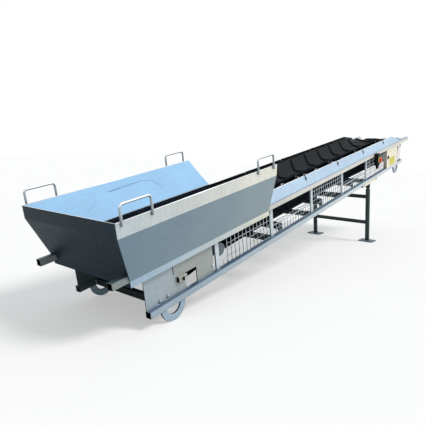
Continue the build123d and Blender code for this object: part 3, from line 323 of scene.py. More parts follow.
class Build:
    """Points and faces of one mesh, gathered part by part."""

    def __init__(self):
        self.points = []
        self.faces = []

    def add(self, points, faces):
        start = len(self.points)
        self.points += [tuple(p) for p in points]
        self.faces += [tuple(i + start for i in face) for face in faces]

    def rings(self, rings, closed=False):
        """A skin over rings of as many points, with a cap at both ends unless it closes on itself."""
        count = len(rings[0])
        faces = []
        last = len(rings) if closed else len(rings) - 1
        for a in range(last):
            b = (a + 1) % len(rings)
            for i in range(count):
                j = (i + 1) % count
                faces.append((a * count + i, a * count + j, b * count + j, b * count + i))
        if not closed:
            faces.append(tuple(reversed(range(count))))
            faces.append(tuple((len(rings) - 1) * count + i for i in range(count)))
        self.add([p for ring in rings for p in ring], faces)

    def tube(self, path, radius, sides=8, closed=False):
        """A round bar along a path; radius is a number or one for each point."""
        points = [Vector(p) for p in path]
        radii = radius if isinstance(radius, (list, tuple)) else [radius] * len(points)
        rings = []
        across = None
        for i, p in enumerate(points):
            before = points[i - 1] if i or closed else p
            after = points[(i + 1) % len(points)] if i + 1 < len(points) or closed else p
            run = (after - before).normalized()
            if across is None:
                across = run.orthogonal().normalized()
            across = (across - run * across.dot(run)).normalized()
            other = run.cross(across)
            rings.append([p + (across * cos(2 * pi * k / sides) + other * sin(2 * pi * k / sides)) * radii[i]
                          for k in range(sides)])
        self.rings(rings, closed)

    def lathe(self, axis_point, axis, profile, sides=24):
        """A turned piece: profile has places along the axis and radii."""
        axis = Vector(axis).normalized()
        x = axis.orthogonal().normalized()
        y = axis.cross(x)
        round_about = [x * cos(2 * pi * k / sides) + y * sin(2 * pi * k / sides) for k in range(sides)]
        self.rings([[Vector(axis_point) + axis * at + way * r for way in round_about] for at, r in profile])

    def hexagon(self, centre, axis, across_flats, height, turn=0.2):
        """A hexagon bolt head on a washer, standing out along an axis."""
        axis = Vector(axis).normalized()
        washer, thickness = across_flats * 0.62, 1.6
        self.lathe(centre, axis, [(0, washer), (thickness, washer), (thickness, across_flats * 0.5)], 18)
        x = axis.orthogonal().normalized()
        y = axis.cross(x)
        radius = across_flats / sqrt(3)
        corners = [(x * cos(turn + pi * k / 3) + y * sin(turn + pi * k / 3)) * radius for k in range(6)]
        self.rings([[Vector(centre) + axis * at + corner * share for corner in corners]
                    for at, share in ((1.4, 1.0), (height * 0.8, 1.0), (height, 0.86))])

    def ribbon(self, line, normal, width):
        """A thin flat strip on the far lining along places given along and across."""
        (top_v, top_w), (foot_v, foot_w) = LINING_LINE
        rise = (top_w - foot_w) / (top_v - foot_v)
        normal = Vector(normal)
        lift, depth = normal * 0.5, normal * 0.4
        points = [Vector((u, v, foot_w + (v - foot_v) * rise)) + lift for u, v in line]
        rings = []
        for i, p in enumerate(points):
            run = (points[min(i + 1, len(points) - 1)] - points[max(i - 1, 0)]).normalized()
            side = run.cross(normal) * width / 2
            rings.append([p - side - depth, p - side, p + side, p + side - depth])
        self.rings(rings)

    def weld(self, start, end, radius=3.2, lump=4.0):
        """A rippled weld bead between two points."""
        start, end = Vector(start), Vector(end)
        steps = max(4, int((end - start).length / lump) * 2)
        path = [start.lerp(end, i / steps) for i in range(steps + 1)]
        radii = [radius * (1.0 if i % 2 else 0.78) * (0.4 if i in (0, steps) else 1)
                 for i in range(steps + 1)]
        self.tube(path, radii, 6)

    def mirrored(self):
        """The same on the other side of the conveyor, added to this mesh."""
        self.add([(u, -v, w) for u, v, w in self.points], [tuple(reversed(f)) for f in self.faces])

    def make(self, name, material, body="conveyor", slot="galvanised", smooth=True):
        return piece(name, self.points, self.faces, material, body, smooth)


def arc(centre, radius, start, end, steps):
    """Points on an arc in a plane, angles in degrees."""
    return [(centre[0] + radius * cos(radians(start + (end - start) * i / steps)),
             centre[1] + radius * sin(radians(start + (end - start) * i / steps))) for i in range(steps + 1)]


def on_side(points, side):
    """Points of the near side, moved over for the far one."""
    return [(u, -v if side == "far" else v, w) for u, v, w in points]


# In metres, how close two corners of a CAD mesh are joined, and the angle from which an edge is rounded
MERGE_DISTANCE = 0.00002
SHARP_ANGLE = radians(38)


def dress(name, material, bevel=1.5, segments=2, other=(), flat=False):
    """A better finish for a CAD node: a material, joined corners and rounded edges.

    Each pair in other is a material and a test of a face's middle and normal, both in the level
    frame, that says whether it goes on that face."""
    node = NODES[name]
    mesh = node.data
    mesh.materials.clear()
    back = TO_ROW.inverted()
    turn = back.to_3x3()
    for kind in (material, *(kind for kind, _ in other)):
        mesh.materials.append(kind)
    for face in mesh.polygons:
        place, normal = back @ face.center, (turn @ face.normal).normalized()
        for i, (_, chosen) in enumerate(other, 1):
            if chosen(place, normal):
                face.material_index = i
    # Normals stored with the mesh give way to those of its rounded edges
    given = mesh.attributes.get("custom_normal")
    if given:
        mesh.attributes.remove(given)
    mesh.polygons.foreach_set("use_smooth", [not flat] * len(mesh.polygons))
    weld = node.modifiers.new("weld", "WELD")
    weld.merge_threshold = MERGE_DISTANCE
    if bevel:
        edge = node.modifiers.new("edges", "BEVEL")
        edge.width = bevel / 1000
        edge.segments = segments
        edge.limit_method = "ANGLE"
        edge.angle_limit = SHARP_ANGLE
    if not flat:
        normal = node.modifiers.new("normals", "WEIGHTED_NORMAL")
        normal.keep_sharp = True


def both(name):
    return (name + "_near", name + "_far")


# Belt: the same path as the solid's, with a rounded trough and rounded chevrons

BELT_THICKNESS = 8.0
BELT_HALF = 250.0
FLAT_HALF = 80.0
TROUGH = radians(33.0)
CARRY_HEIGHT = 300.0
IDLER_START, IDLER_PITCH = 544.0, 689.0
IDLERS = [IDLER_START + IDLER_PITCH * i for i in range(6)]
RETURN_START, RETURN_PITCH = 1480.0, 770.0
RETURNS = [RETURN_START + RETURN_PITCH * i for i in range(3)]
TAIL_AXIS, TAIL_RADIUS = (288.0, 126.0), 75.0
HEAD_AXIS, HEAD_RADIUS = (4487.0, 207.0), 120.0
TAIL_SNUB_PLACE = 693.0
HEAD_SNUB_PLACE = 4108.0
SNUB_HEIGHT = 154.0
SNUB_RADIUS = 45.0
BELT_GAP = 0.3
TAIL_SNUB_TOUCH = (TAIL_SNUB_PLACE, SNUB_HEIGHT - SNUB_RADIUS - BELT_GAP)
HEAD_SNUB_TOUCH = (HEAD_SNUB_PLACE, SNUB_HEIGHT - SNUB_RADIUS - BELT_GAP)
CLEAT_HEIGHT = 17.0
CLEAT_PITCH = 318.0
CLEAT_OFFSET = 270.0
CLEAT_SLOPE = tan(radians(49.0))
CLEAT_REACH = 234.0
CLEAT_ROUND = 70.0
BEND_LEAD = 10.0
RETURN_LEVEL = SNUB_HEIGHT - SNUB_RADIUS + CLEAT_HEIGHT + BELT_THICKNESS
# Width of the rounded bend between the belt's flat and its wing
BEND = 90.0
# Longest steps along the belt's mesh, on its lines and on its drums
LINE_STEP, ARC_STEP = 60.0, 12.0
# Reaches from the belt's middle where its mesh has a line, closer together at the bend
BELT_LINES = (0, 20, *(35 + 9 * i for i in range(11)), 165, 200, 228, 246)
# Half the height of the belt's flat edge
EDGE_LAND = 2
# A chevron's section: places square to its line and heights over the belt
CLEAT_SECTION = ((-15, -1.5), (-11, 1.5), (-8.6, 6), (-7.4, 13), (-4.6, 16.4), (0, 17), (4.6, 16.4),
                 (7.4, 13), (8.6, 6), (11, 1.5), (15, -1.5))
CLEAT_STEPS = 44
# Shares of a chevron's height at its ends, from the outermost ring inwards
CLEAT_ENDS = (0.35, 0.82, 1.0)


def tangent(centre, radius, point, turn):
    """Angle at which a line from a point meets a circle, on the side that turn gives."""
    du, dw = point[0] - centre[0], point[1] - centre[1]
    return degrees(atan2(dw, du)) + turn * degrees(acos(radius / hypot(du, dw)))


def on_circle(centre, radius, angle):
    return (centre[0] + radius * cos(radians(angle)), centre[1] + radius * sin(radians(angle)))


def belt_stretches():
    """Lines and arcs of the belt's inner face: kind, ends or arc, and trough share at both ends."""
    first, last = (IDLERS[0] - BEND_LEAD, CARRY_HEIGHT), (IDLERS[-1] + BEND_LEAD, CARRY_HEIGHT)
    head_meet = tangent(HEAD_AXIS, HEAD_RADIUS, last, -1)
    head_leave = tangent(HEAD_AXIS, HEAD_RADIUS, HEAD_SNUB_TOUCH, 1) - 360
    tail_meet = tangent(TAIL_AXIS, TAIL_RADIUS, TAIL_SNUB_TOUCH, -1)
    tail_leave = tangent(TAIL_AXIS, TAIL_RADIUS, first, 1)
    tail_top = on_circle(TAIL_AXIS, TAIL_RADIUS, tail_leave)
    head_top = on_circle(HEAD_AXIS, HEAD_RADIUS, head_meet)
    under = [on_circle(HEAD_AXIS, HEAD_RADIUS, head_leave), HEAD_SNUB_TOUCH, (RETURNS[-1], RETURN_LEVEL),
             (RETURNS[0], RETURN_LEVEL), TAIL_SNUB_TOUCH, on_circle(TAIL_AXIS, TAIL_RADIUS, tail_meet)]
    made = [("line", tail_top, first, 0, 1), ("line", first, last, 1, 1), ("line", last, head_top, 1, 0),
            ("arc", HEAD_AXIS, HEAD_RADIUS, head_meet, head_leave)]
    made += [("line", a, b, 0, 0) for a, b in zip(under, under[1:])]
    return made + [("arc", TAIL_AXIS, TAIL_RADIUS, tail_meet, tail_leave - 360)]


STRETCHES = belt_stretches()


def stretch_length(stretch):
    if stretch[0] == "line":
        return hypot(stretch[2][0] - stretch[1][0], stretch[2][1] - stretch[1][1])
    return radians(stretch[3] - stretch[4]) * (stretch[2] + BELT_THICKNESS)


BELT_LENGTH = sum(stretch_length(stretch) for stretch in STRETCHES)


def belt_place(along):
    """Place on the inner face, heading and trough share at a distance along."""
    along = along % BELT_LENGTH
    for stretch in STRETCHES:
        length = stretch_length(stretch)
        if along <= length:
            break
        along -= length
    share = along / length
    if stretch[0] == "arc":
        angle = stretch[3] + (stretch[4] - stretch[3]) * share
        return on_circle(stretch[1], stretch[2], angle), radians(angle - 90), 0.0
    (u0, w0), (u1, w1) = stretch[1], stretch[2]
    trough = stretch[3] + (stretch[4] - stretch[3]) * share
    return (u0 + (u1 - u0) * share, w0 + (w1 - w0) * share), atan2(w1 - w0, u1 - u0), trough


def trough_profile(reach, share):
    """Across, height and lean of the belt's inner face at a reach from the middle."""
    side = -1 if reach < 0 else 1
    r = abs(reach)
    start = FLAT_HALF - BEND / 2
    radius = BEND / TROUGH
    if r <= start:
        across, height, lean = r, 0.0, 0.0
    elif r < start + BEND:
        lean = TROUGH * (r - start) / BEND
        across, height = start + radius * sin(lean), radius * (1 - cos(lean))
    else:
        lean = TROUGH
        across = start + radius * sin(lean) + (r - start - BEND) * cos(lean)
        height = radius * (1 - cos(lean)) + (r - start - BEND) * sin(lean)
    across = r + (across - r) * share
    return side * across, height * share, side * lean * share


def belt_point(along, reach, rise):
    """A point over the belt's inner face by a rise along its normal."""
    (u, w), heading, share = belt_place(along)
    across, height, lean = trough_profile(reach, share)
    up = height + rise * cos(lean)
    side = across - rise * sin(lean)
    return Vector((u - up * sin(heading), side, w + up * cos(heading)))


def belt_rows():
    """Distances along the belt where its mesh has a row, closer on the drums."""
    rows, start = [], 0.0
    for stretch in STRETCHES:
        length = stretch_length(stretch)
        count = ceil(length / (LINE_STEP if stretch[0] == "line" else ARC_STEP))
        rows += [start + length * i / count for i in range(count)]
        start += length
    return rows


def make_belt():
    """The belt as one closed skin of rings, each from edge to edge over its face and back under it."""
    reaches = [*(-r for r in reversed(BELT_LINES)), *BELT_LINES[1:]]
    over, under = BELT_THICKNESS / 2 + EDGE_LAND, BELT_THICKNESS / 2 - EDGE_LAND
    ring = [(-BELT_HALF, over), *((r, BELT_THICKNESS) for r in reaches), (BELT_HALF, over),
            (BELT_HALF, under), *((r, 0.0) for r in reversed(reaches)), (-BELT_HALF, under)]
    made = Build()
    made.rings([[belt_point(s, r, h) for r, h in ring] for s in belt_rows()], closed=True)
    return made


def cleat_line(along, reach):
    """Place along the belt of a chevron at a reach, its point rounded."""
    return CLEAT_OFFSET + along + CLEAT_SLOPE * (hypot(reach, CLEAT_ROUND) - CLEAT_ROUND)


def make_cleats():
    """Chevrons at an even pitch round the belt, their section square to their line."""
    count = int(BELT_LENGTH // CLEAT_PITCH)
    pitch = BELT_LENGTH / count
    made = Build()
    for i in range(count):
        rings = []
        for k in range(CLEAT_STEPS + 1):
            reach = CLEAT_REACH * (2 * k / CLEAT_STEPS - 1)
            share = CLEAT_ENDS[min(k, CLEAT_STEPS - k, 2)]
            along = cleat_line(pitch * i, reach)
            lean = CLEAT_SLOPE * reach / hypot(reach, CLEAT_ROUND)
            run = Vector((lean, 1.0)).normalized()
            rings.append([belt_point(along + x * run.y, reach - x * run.x, BELT_THICKNESS + h * share)
                          for x, h in CLEAT_SECTION])
        made.rings(rings)
    return made


def dress_belt():
    """Belt and chevrons as one piece, the chevrons darker as painted shade and the belt's edges darker, its
    inside bluish as painted sky light in shade.
    """
    rubber_part = make_belt()
    chevrons = make_cleats()
    split = len(rubber_part.faces)
    around = split // len(belt_rows())
    top = (around - 2) // 2
    rubber_part.add(chevrons.points, chevrons.faces)
    belt = piece("belt_loop", rubber_part.points, rubber_part.faces, BELT, "conveyor",
                 extra=(CLEAT, APRON))
    for i, face in enumerate(belt.data.polygons):
        if i >= split:
            face.material_index = 1
        elif i % around >= top:
            face.material_index = 2
        elif i % around in (0, 1, top - 2, top - 1):
            face.material_index = 1
    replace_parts(belt, "belt")


# Mesh guards in round wire

POST_START, POST_PITCH = 626.0, 691.0
POSTS = [POST_START + POST_PITCH * i for i in range(5)]
POST_WIDTH = 38.0
HEAD_PLATE_START = 4059.0
MESH_PITCH = 46.0
WIRE_RADIUS = 2.3
WIRE_FACE = 318.0
GUARD_TOP = 120.0
LEDGE = 50.0
LEDGE_BEND = 7
LEDGE_WIRES = (8, LEDGE - 3)
# How far crossing wires sink into each other at their welds
WIRE_SINK = 0.6
# Length of the first guard's low part beside the snub roller
CORNER_LENGTH = 92


def spaced(start, end):
    """Places of wires between two ends, as near to the mesh's pitch as fits."""
    count = max(1, round((end - start) / MESH_PITCH))
    return [start + (end - start) * i / count for i in range(count + 1)]


def wall_wires(made, u0, u1, w0, w1, uprights=True):
    """Upright wires outside, level wires inside, on the near side."""
    columns = spaced(u0 + WIRE_RADIUS, u1 - WIRE_RADIUS)
    rows = spaced(w0 + WIRE_RADIUS, w1 - WIRE_RADIUS)
    if uprights:
        for u in columns:
            made.tube([(u, -WIRE_FACE, w0), (u, -WIRE_FACE, w1)], WIRE_RADIUS, 8)
    inside = -WIRE_FACE + 2 * WIRE_RADIUS - WIRE_SINK
    for w in rows:
        made.tube([(u0, inside, w), (u1, inside, w)], WIRE_RADIUS, 8)
    return columns


def make_guards():
    """Full guards in every second bay, and between them half guards with a ledge folded in on top."""
    corner = POSTS[0] + POST_WIDTH + CORNER_LENGTH
    full = Build()
    wall_wires(full, corner, POSTS[1], RAIL, UPPER_RAIL_UNDERSIDE)
    wall_wires(full, POSTS[0] + POST_WIDTH, corner, RAIL, RAIL + MESH_PITCH)
    wall_wires(full, POSTS[2] + POST_WIDTH, POSTS[3], RAIL, UPPER_RAIL_UNDERSIDE)
    wall_wires(full, POSTS[4] + POST_WIDTH, HEAD_PLATE_START, RAIL, UPPER_RAIL_UNDERSIDE)
    half = Build()
    for bay in (1, 3):
        u0, u1 = POSTS[bay] + POST_WIDTH, POSTS[bay + 1]
        columns = wall_wires(half, u0, u1, RAIL, GUARD_TOP - 4, uprights=False)
        face = -WIRE_FACE
        bend = arc((face + LEDGE_BEND, GUARD_TOP - LEDGE_BEND), LEDGE_BEND, 180, 90, 3)
        line = ((face, RAIL), *bend, (face + LEDGE, GUARD_TOP))
        for u in columns:
            half.tube([(u, v, w) for v, w in line], WIRE_RADIUS, 8)
        under = GUARD_TOP - 2 * WIRE_RADIUS + WIRE_SINK
        for reach in LEDGE_WIRES:
            half.tube([(u0, face + reach, under), (u1, face + reach, under)], WIRE_RADIUS, 8)
    for kind, made in (("full", full), ("half", half)):
        for side in ("near", "far"):
            guard = piece("wire_guard_" + kind + "_" + side, on_side(made.points, side), made.faces, WIRE,
                          "conveyor", extra=(DEEP_SHADE,))
            # The far guard's wire faces that look in are painted shade
            if side == "far":
                for face in guard.data.polygons:
                    if face.normal.y < 0:
                        face.material_index = 1
            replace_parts(guard, "guards_" + kind + "_" + side)


# Handles

HANDLE_RADIUS = 7.0
HANDLE_SINK = 1.2
HANDLE_ACROSS = -HOPPER_HALF_WIDTH - HANDLE_RADIUS + HANDLE_SINK
HANDLE_FOOT = 600.0
HANDLE_TOP = 705.0
HANDLE_BEND = 20.0
HANDLE_SPAN = 200.0
HANDLE_STARTS = (-162.0, 1020.0)
# Straight length below a handle's bends, and the heights over its foot between which it narrows
HANDLE_LEAD = 20
HANDLE_TIP, TIP_SHARE = (-1, 3), 0.8
HANDLE_BEAD_FACE = -427.0
HANDLE_BEAD_TOP = 619
HANDLE_BEAD_RADIUS = 2.6
HANDLE_BEAD_SINK = 1.4


def make_handles():
    """Bars bent to a round bow, welded to the lip along both sides of each leg."""
    bars, beads = Build(), Build()
    low, high = (HANDLE_FOOT + step for step in HANDLE_TIP)
    for start in HANDLE_STARTS:
        end = start + HANDLE_SPAN
        top = HANDLE_TOP - HANDLE_BEND
        path = [(start, low), (start, high), (start, top - HANDLE_LEAD)]
        path += arc((start + HANDLE_BEND, top), HANDLE_BEND, 180, 90, 8)
        path += arc((end - HANDLE_BEND, top), HANDLE_BEND, 90, 0, 8)
        path += [(end, top - HANDLE_LEAD), (end, high), (end, low)]
        tip = HANDLE_RADIUS * TIP_SHARE
        radii = [tip] + [HANDLE_RADIUS] * (len(path) - 2) + [tip]
        bars.tube([(u, HANDLE_ACROSS, w) for u, w in path], radii, 16)
        for u in (start, end):
            for side in (-1, 1):
                place = u + side * (HANDLE_RADIUS - HANDLE_BEAD_SINK)
                beads.weld((place, HANDLE_BEAD_FACE, HANDLE_FOOT), (place, HANDLE_BEAD_FACE, HANDLE_BEAD_TOP),
                           HANDLE_BEAD_RADIUS)
    for side in ("near", "far"):
        handle = piece("handle_bars_" + side, on_side(bars.points, side), bars.faces, HANDLE, "conveyor")
        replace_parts(handle, "hopper_handles_" + side)
    # The handles' weld beads are dark as painted shade
    beads.mirrored()
    beads.make("handle_welds", BEAD_BOLT_SHADE)


# Controls

SWITCH_PLACE = 3628.0
SWITCH_HALF = 40.0
SWITCH_BOTTOM = 165.0
SWITCH_TOP = 300.0
SWITCH_DEPTH = 42.0
LID_DEPTH = 15
LID_INSET = 1.5
LID_LAP = 17
HOUSING_ROUND = 8
LID_SCREW_REACH = 30
LID_SCREW_INSET = 11
BUTTON_HEIGHT = 228.0
# How far a housing's front edge is rounded: steps back from its face, and in from its outline
FRONT_ROUND = ((3.0, 0), (0.9, 0.9), (0, 3.0))
# Turned pieces: places along the axis and radii
LID_SCREW = ((0, 4.5), (1.0, 4.3), (1.4, 3.2))
COLLAR = ((0, 30), (3, 30), (4, 28.5), (11, 22), (14, 18))
CAP = ((13, 12), (14.2, 30), (15.6, 33), (18, 34), (22, 33.4), (25.5, 30), (28, 24), (29.4, 14), (30, 4))
INLET = ((0, 20.5), (11, 21), (13, 20), (14, 16.6), (20, 16.2), (21, 17), (24, 17), (25, 16), (40, 15.4),
         (43, 14), (43, 9), (34, 8))


def rounded_box(made, u0, u1, v0, v1, w0, w1, r):
    """A box with rounded upright corners and softened faces towards v0."""
    steps = 4
    outline = []
    for cu, cw, start in ((u1 - r, w1 - r, 0), (u0 + r, w1 - r, 90), (u0 + r, w0 + r, 180),
                          (u1 - r, w0 + r, 270)):
        outline += arc((cu, cw), r, start, start + 90, steps)
    cu, cw = (u0 + u1) / 2, (w0 + w1) / 2
    rings = []
    for v, shrink in ((v1, 0), *((v0 + back, shrink) for back, shrink in FRONT_ROUND)):
        rings.append([(u - shrink * (1 if u > cu else -1), v, w - shrink * (1 if w > cw else -1))
                      for u, w in outline])
    made.rings(rings)


def make_controls():
    """Switch housing with a screwed lid, button on its collar, and the plug inlet underneath."""
    face = -HALF_WIDTH - SWITCH_DEPTH
    housing = Build()
    start, end = SWITCH_PLACE - SWITCH_HALF, SWITCH_PLACE + SWITCH_HALF
    rounded_box(housing, start, end, face + LID_DEPTH, -HALF_WIDTH, SWITCH_BOTTOM, SWITCH_TOP, HOUSING_ROUND)
    rounded_box(housing, start + LID_INSET, end - LID_INSET, face, face + LID_LAP,
                SWITCH_BOTTOM + LID_INSET, SWITCH_TOP - LID_INSET, HOUSING_ROUND)
    for du in (-LID_SCREW_REACH, LID_SCREW_REACH):
        for w in (SWITCH_BOTTOM + LID_SCREW_INSET, SWITCH_TOP - LID_SCREW_INSET):
            housing.lathe((SWITCH_PLACE + du, face + 0.2, w), OUT, LID_SCREW, 12)
    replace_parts(housing.make("switch_housing", BLACK, slot="black_plastic"), "switch_box")
    collar = Build()
    collar.lathe((SWITCH_PLACE, face, BUTTON_HEIGHT), OUT, COLLAR, 32)
    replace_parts(collar.make("button_collar", YELLOW, slot="yellow_plastic"), "stop_collar")
    cap = Build()
    cap.lathe((SWITCH_PLACE, face, BUTTON_HEIGHT), OUT, CAP, 36)
    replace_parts(cap.make("button_cap", RED, slot="red_plastic"), "stop_button")
    inlet = Build()
    inlet.lathe((SWITCH_PLACE, -HALF_WIDTH - SWITCH_DEPTH / 2, SWITCH_BOTTOM + 1), (0, 0, -1), INLET, 28)
    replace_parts(inlet.make("inlet_body", BLACK, slot="black_plastic"), "power_inlet")


# Bolts, beads and small pieces; all but the scratches are the same on both sides

# Places of bolts along and up: on head plate, shoe, foot cover, bearing cover and skirt
HEAD_BOLTS = ((4180, 242), (4330, 242))
SHOE_BOLTS = ((STAND_PLACE - 190, 4), (STAND_PLACE + 190, 4))
COVER_BOLTS = ((584, 90),)
BEARING_BOLTS = ((4512, 58), (4552, 58), (4592, 58), (4500, 236), (4592, 248))
SKIRT_BOLTS = ((4551, 344), (4632, 322))
# Domed bolts on the foot plate, and dark discs set off beside them as painted shadows
DOME_BOLTS = ((105, 56), (171, 58))
DOME_SHADOW_DISCS = ((101, 56), (167, 58))
DOME = ((0, 11), (3, 10.5), (5, 8.5), (6, 3))
# Profile of the dark disc behind each domed bolt, a painted shadow
WASHER = ((0, 12.5), (1.5, 12))
SHADOW_DISC_FACE = 321.5
# A round screw end on the take-up block: its place, then places along its axis and radii
BLOCK_SCREW_PLACE, BLOCK_SCREW = (299, -343.5, 122), ((0, 7), (9, 7), (10, 6))
# The cover over the head bearing: its thickness and corners
BEARING_COVER = 2.5
BEARING_OUTLINE = ((4500, 44), (4616, 44), (4616, 262), (4500, 262))
# The second sheet over the rear of the foot plate, and a dark strip of painted shade in the open seam along
# its left edge
COVER_FACE = 324
COVER_OUTLINE = ((228, 266), (233, 168), (328, 146), (430, 141), (430, 40), (595, 40), (595, 266))
SEAM_SHADE_FACES = (321.8, 322.8)
SEAM_SHADE_OUTLINE = ((224, 266), (229, 170), (233, 164), (238, 164), (233, 172), (230, 266))
# Rolled edges of the hopper's lip and of the skirts between their slots
LIP_EDGE = ((-193, -423, 619.2), (1274, -423, 619.2))
SKIRT_EDGE_START, SKIRT_TAPER = 1290, 4330
SKIRT_EDGE_ACROSS = -310.5
SKIRT_END, SKIRT_END_ACROSS, SKIRT_END_DROP = 4698, -331, 66
SLOT_HALF = 8
# Scratches and a few marks on the far lining: width, then places along and across
LINING_SCUFFS = (
    (3.4, ((377, 365.8), (467, 369.2), (580, 372.3), (703, 370.6), (763, 360.7), (799, 328), (812, 284.5))),
    (4.5, ((377, 360), (420, 362), (470, 363.5))), (2.6, ((470, 362), (560, 366.5), (640, 367.5))),
    (1.6, ((130, 275), (180, 300), (226, 317))), (4.0, ((66, 330.2), (71, 330.2))),
    (3.5, ((-3, 352.7), (1, 352.7))), (4.0, ((1141, 285), (1146, 285.6))))
LINING_NORMAL = (0, -0.66, 0.751)
# Washers on the stand's pins: places along and radii, and how far from the rail's middle
PIN_WASHER, PIN_REACH = ((0, 14), (2.6, 14), (3.6, 12)), 21
# Beads: faces that they lie on, places and lengths
BEAD_FACE = 322.5
EYE_BEADS = ((-102, -60), (60, 102))
FOOT_PLATE_BEADS, FOOT_PLATE_BEAD = (70, 150, 330, 470), 34
FIRST_CROSS_TUBE = 130
LEG_BEAD_RADIUS, LEG_BEAD_RIPPLE, LEG_BEAD_STEPS = 25.5, 0.7, 48
# The rim on the tail snub roller
RIM_RADIUS, RIM_FACE, RIM_STEPS = 43.5, 310.5, 40


def skirt_face(height):
    """A place across, half a millimetre out from the near skirt's outer face at a height."""
    return -HALF_WIDTH + 10 + SKIRT_LEAN * (height - FRAME_HEIGHT) - 0.5


def make_bolts():
    bolts = Build()
    for places, face, size, height in (
            (HEAD_BOLTS, -HALF_WIDTH, 13, 6), (SHOE_BOLTS, -HALF_WIDTH - SHOE_WALL, 17, 8),
            (COVER_BOLTS, -COVER_FACE, 17, 8)):
        for u, w in places:
            bolts.hexagon((u, face, w), OUT, size, height)
    bolts.lathe(BLOCK_SCREW_PLACE, OUT, BLOCK_SCREW, 16)
    bolts.mirrored()
    bolts.make("bolt_heads", WIRE, smooth=False)

    # Bolt heads in painted shade, and the dark discs that paint the domed bolts' shadows
    dark = Build()
    for u, w in BEARING_BOLTS:
        dark.hexagon((u, -HALF_WIDTH - BEARING_COVER, w), OUT, 19, 8)
    for u, w in SKIRT_BOLTS:
        dark.hexagon((u, skirt_face(w), w), OUT, 15, 7)
    for u, w in DOME_SHADOW_DISCS:
        dark.lathe((u, -SHADOW_DISC_FACE, w), OUT, WASHER, 20)
    dark.mirrored()
    dark.make("dark_bolts", BEAD_BOLT_SHADE, smooth=False)

    domes = Build()
    for u, w in DOME_BOLTS:
        domes.lathe((u, -WEB_FACE, w), OUT, DOME, 24)
    domes.mirrored()
    domes.make("dome_bolts", PLATE)


def make_foot_covers():
    """The second sheet over each foot plate's rear, and a dark strip of painted shade in its open seam."""
    for name, outline, faces, material in (
            ("foot_covers", COVER_OUTLINE, (WEB_FACE, COVER_FACE), COVER),
            ("cover_seam_shade", SEAM_SHADE_OUTLINE, SEAM_SHADE_FACES, DEEP_SHADE)):
        made = Build()
        made.rings([[(u, -v, w) for u, w in outline] for v in faces])
        made.mirrored()
        made.make(name, material, smooth=False)


def make_edges():
    """The rolled edges of the hopper's lip and of the skirts, bright as a painted highlight."""
    rims = Build()
    rims.tube(LIP_EDGE, 4, 8)
    top = SKIRT_TOP - 1.5
    slots = (edge for place in IDLERS[2:] for edge in (place - SLOT_HALF, place + SLOT_HALF))
    stops = [SKIRT_EDGE_START, *slots, SKIRT_TAPER]
    for u0, u1 in zip(stops[::2], stops[1::2]):
        rims.tube([(u0, SKIRT_EDGE_ACROSS, top), (u1, SKIRT_EDGE_ACROSS, top)], 3, 8)
    end = (SKIRT_END, SKIRT_END_ACROSS, top - SKIRT_END_DROP)
    rims.tube([(SKIRT_TAPER, SKIRT_EDGE_ACROSS, top), end], 3, 8)
    rims.mirrored()
    rims.make("lip_edges", EDGE)


def make_scuffs():
    scuffs = Build()
    for width, line in LINING_SCUFFS:
        scuffs.ribbon(line, LINING_NORMAL, width)
    scuffs.make("lining_scuffs", SCUFF, smooth=False)


def make_washers():
    """A washer at both ends of each pin."""
    pins = Build()
    for side in (-1, 1):
        for end in (-1, 1):
            place = (STAND_PLACE, side * RAIL_MIDDLE + end * PIN_REACH, -PIVOT_DROP)
            pins.lathe(place, (0, -end, 0), PIN_WASHER, 20)
    pins.make("pin_washers", FRAME)


def make_beads():
    """Weld beads at eyes, posts, foot plates and cross tubes."""
    beads = Build()
    for eye in (FOOT_EYE_PLACE, HEAD_EYE_PLACE):
        for v in (-RAIL_MIDDLE - 6, -RAIL_MIDDLE + 6):
            for a, b in EYE_BEADS:
                beads.weld((eye + a, v, -1), (eye + b, v, -1), 3.4)
    for u in POSTS:
        for w in (RAIL + 1, UPPER_RAIL_UNDERSIDE - 1):
            beads.weld((u + 2, -BEAD_FACE, w), (u + POST_WIDTH - 2, -BEAD_FACE, w), 2.8)
    for u in FOOT_PLATE_BEADS:
        beads.weld((u, -BEAD_FACE, RAIL + 1), (u + FOOT_PLATE_BEAD, -BEAD_FACE, RAIL + 1), 3.2)
    for u in (FIRST_CROSS_TUBE, *POSTS[1:]):
        for edge in (u, u + RAIL):
            beads.weld((edge, -INNER_FACE, 3), (edge, -INNER_FACE, RAIL - 3), 2.8)
    beads.mirrored()
    beads.make("weld_beads", FRAME)


def make_leg_beads():
    """A rippled bead round each leg where it stands on its base plate."""
    rings = Build()
    low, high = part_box("base_plate_near")
    middle = ((low + high) / 2).x
    back = TO_ROW.inverted()
    for side in (-1, 1):
        path = []
        for k in range(LEG_BEAD_STEPS):
            a = 2 * pi * k / LEG_BEAD_STEPS
            r = (LEG_BEAD_RADIUS + LEG_BEAD_RIPPLE * (k % 2)) / 1000
            path.append(back @ Vector((middle + r * cos(a) / cos(INCLINE),
                                       side * RAIL_MIDDLE / 1000 + r * sin(a), high.z + 0.0012)))
        rings.tube(path, 3.2, 6, closed=True)
    rings.make("foot_beads", BASE, body="stand")


def make_rims():
    """The bright rim on both ends of the tail snub roller."""
    rims = Build()
    circle = arc((TAIL_SNUB_PLACE, SNUB_HEIGHT), RIM_RADIUS, 0, 360, RIM_STEPS)[:-1]
    for side in (-1, 1):
        rims.tube([(u, side * RIM_FACE, w) for u, w in circle], 2.0, 6, closed=True)
    rims.make("roller_rims", WIRE)


def make_bearing_covers():
    plates = Build()
    for side in (-1, 1):
        faces = sorted((side * HALF_WIDTH, side * (HALF_WIDTH + BEARING_COVER)))
        plates.rings([[(u, v, w) for u, w in BEARING_OUTLINE] for v in faces])
    plates.make("bearing_plates", BEARING, smooth=False)


# Finish for the CAD nodes that stay: tests of a face's middle and normal

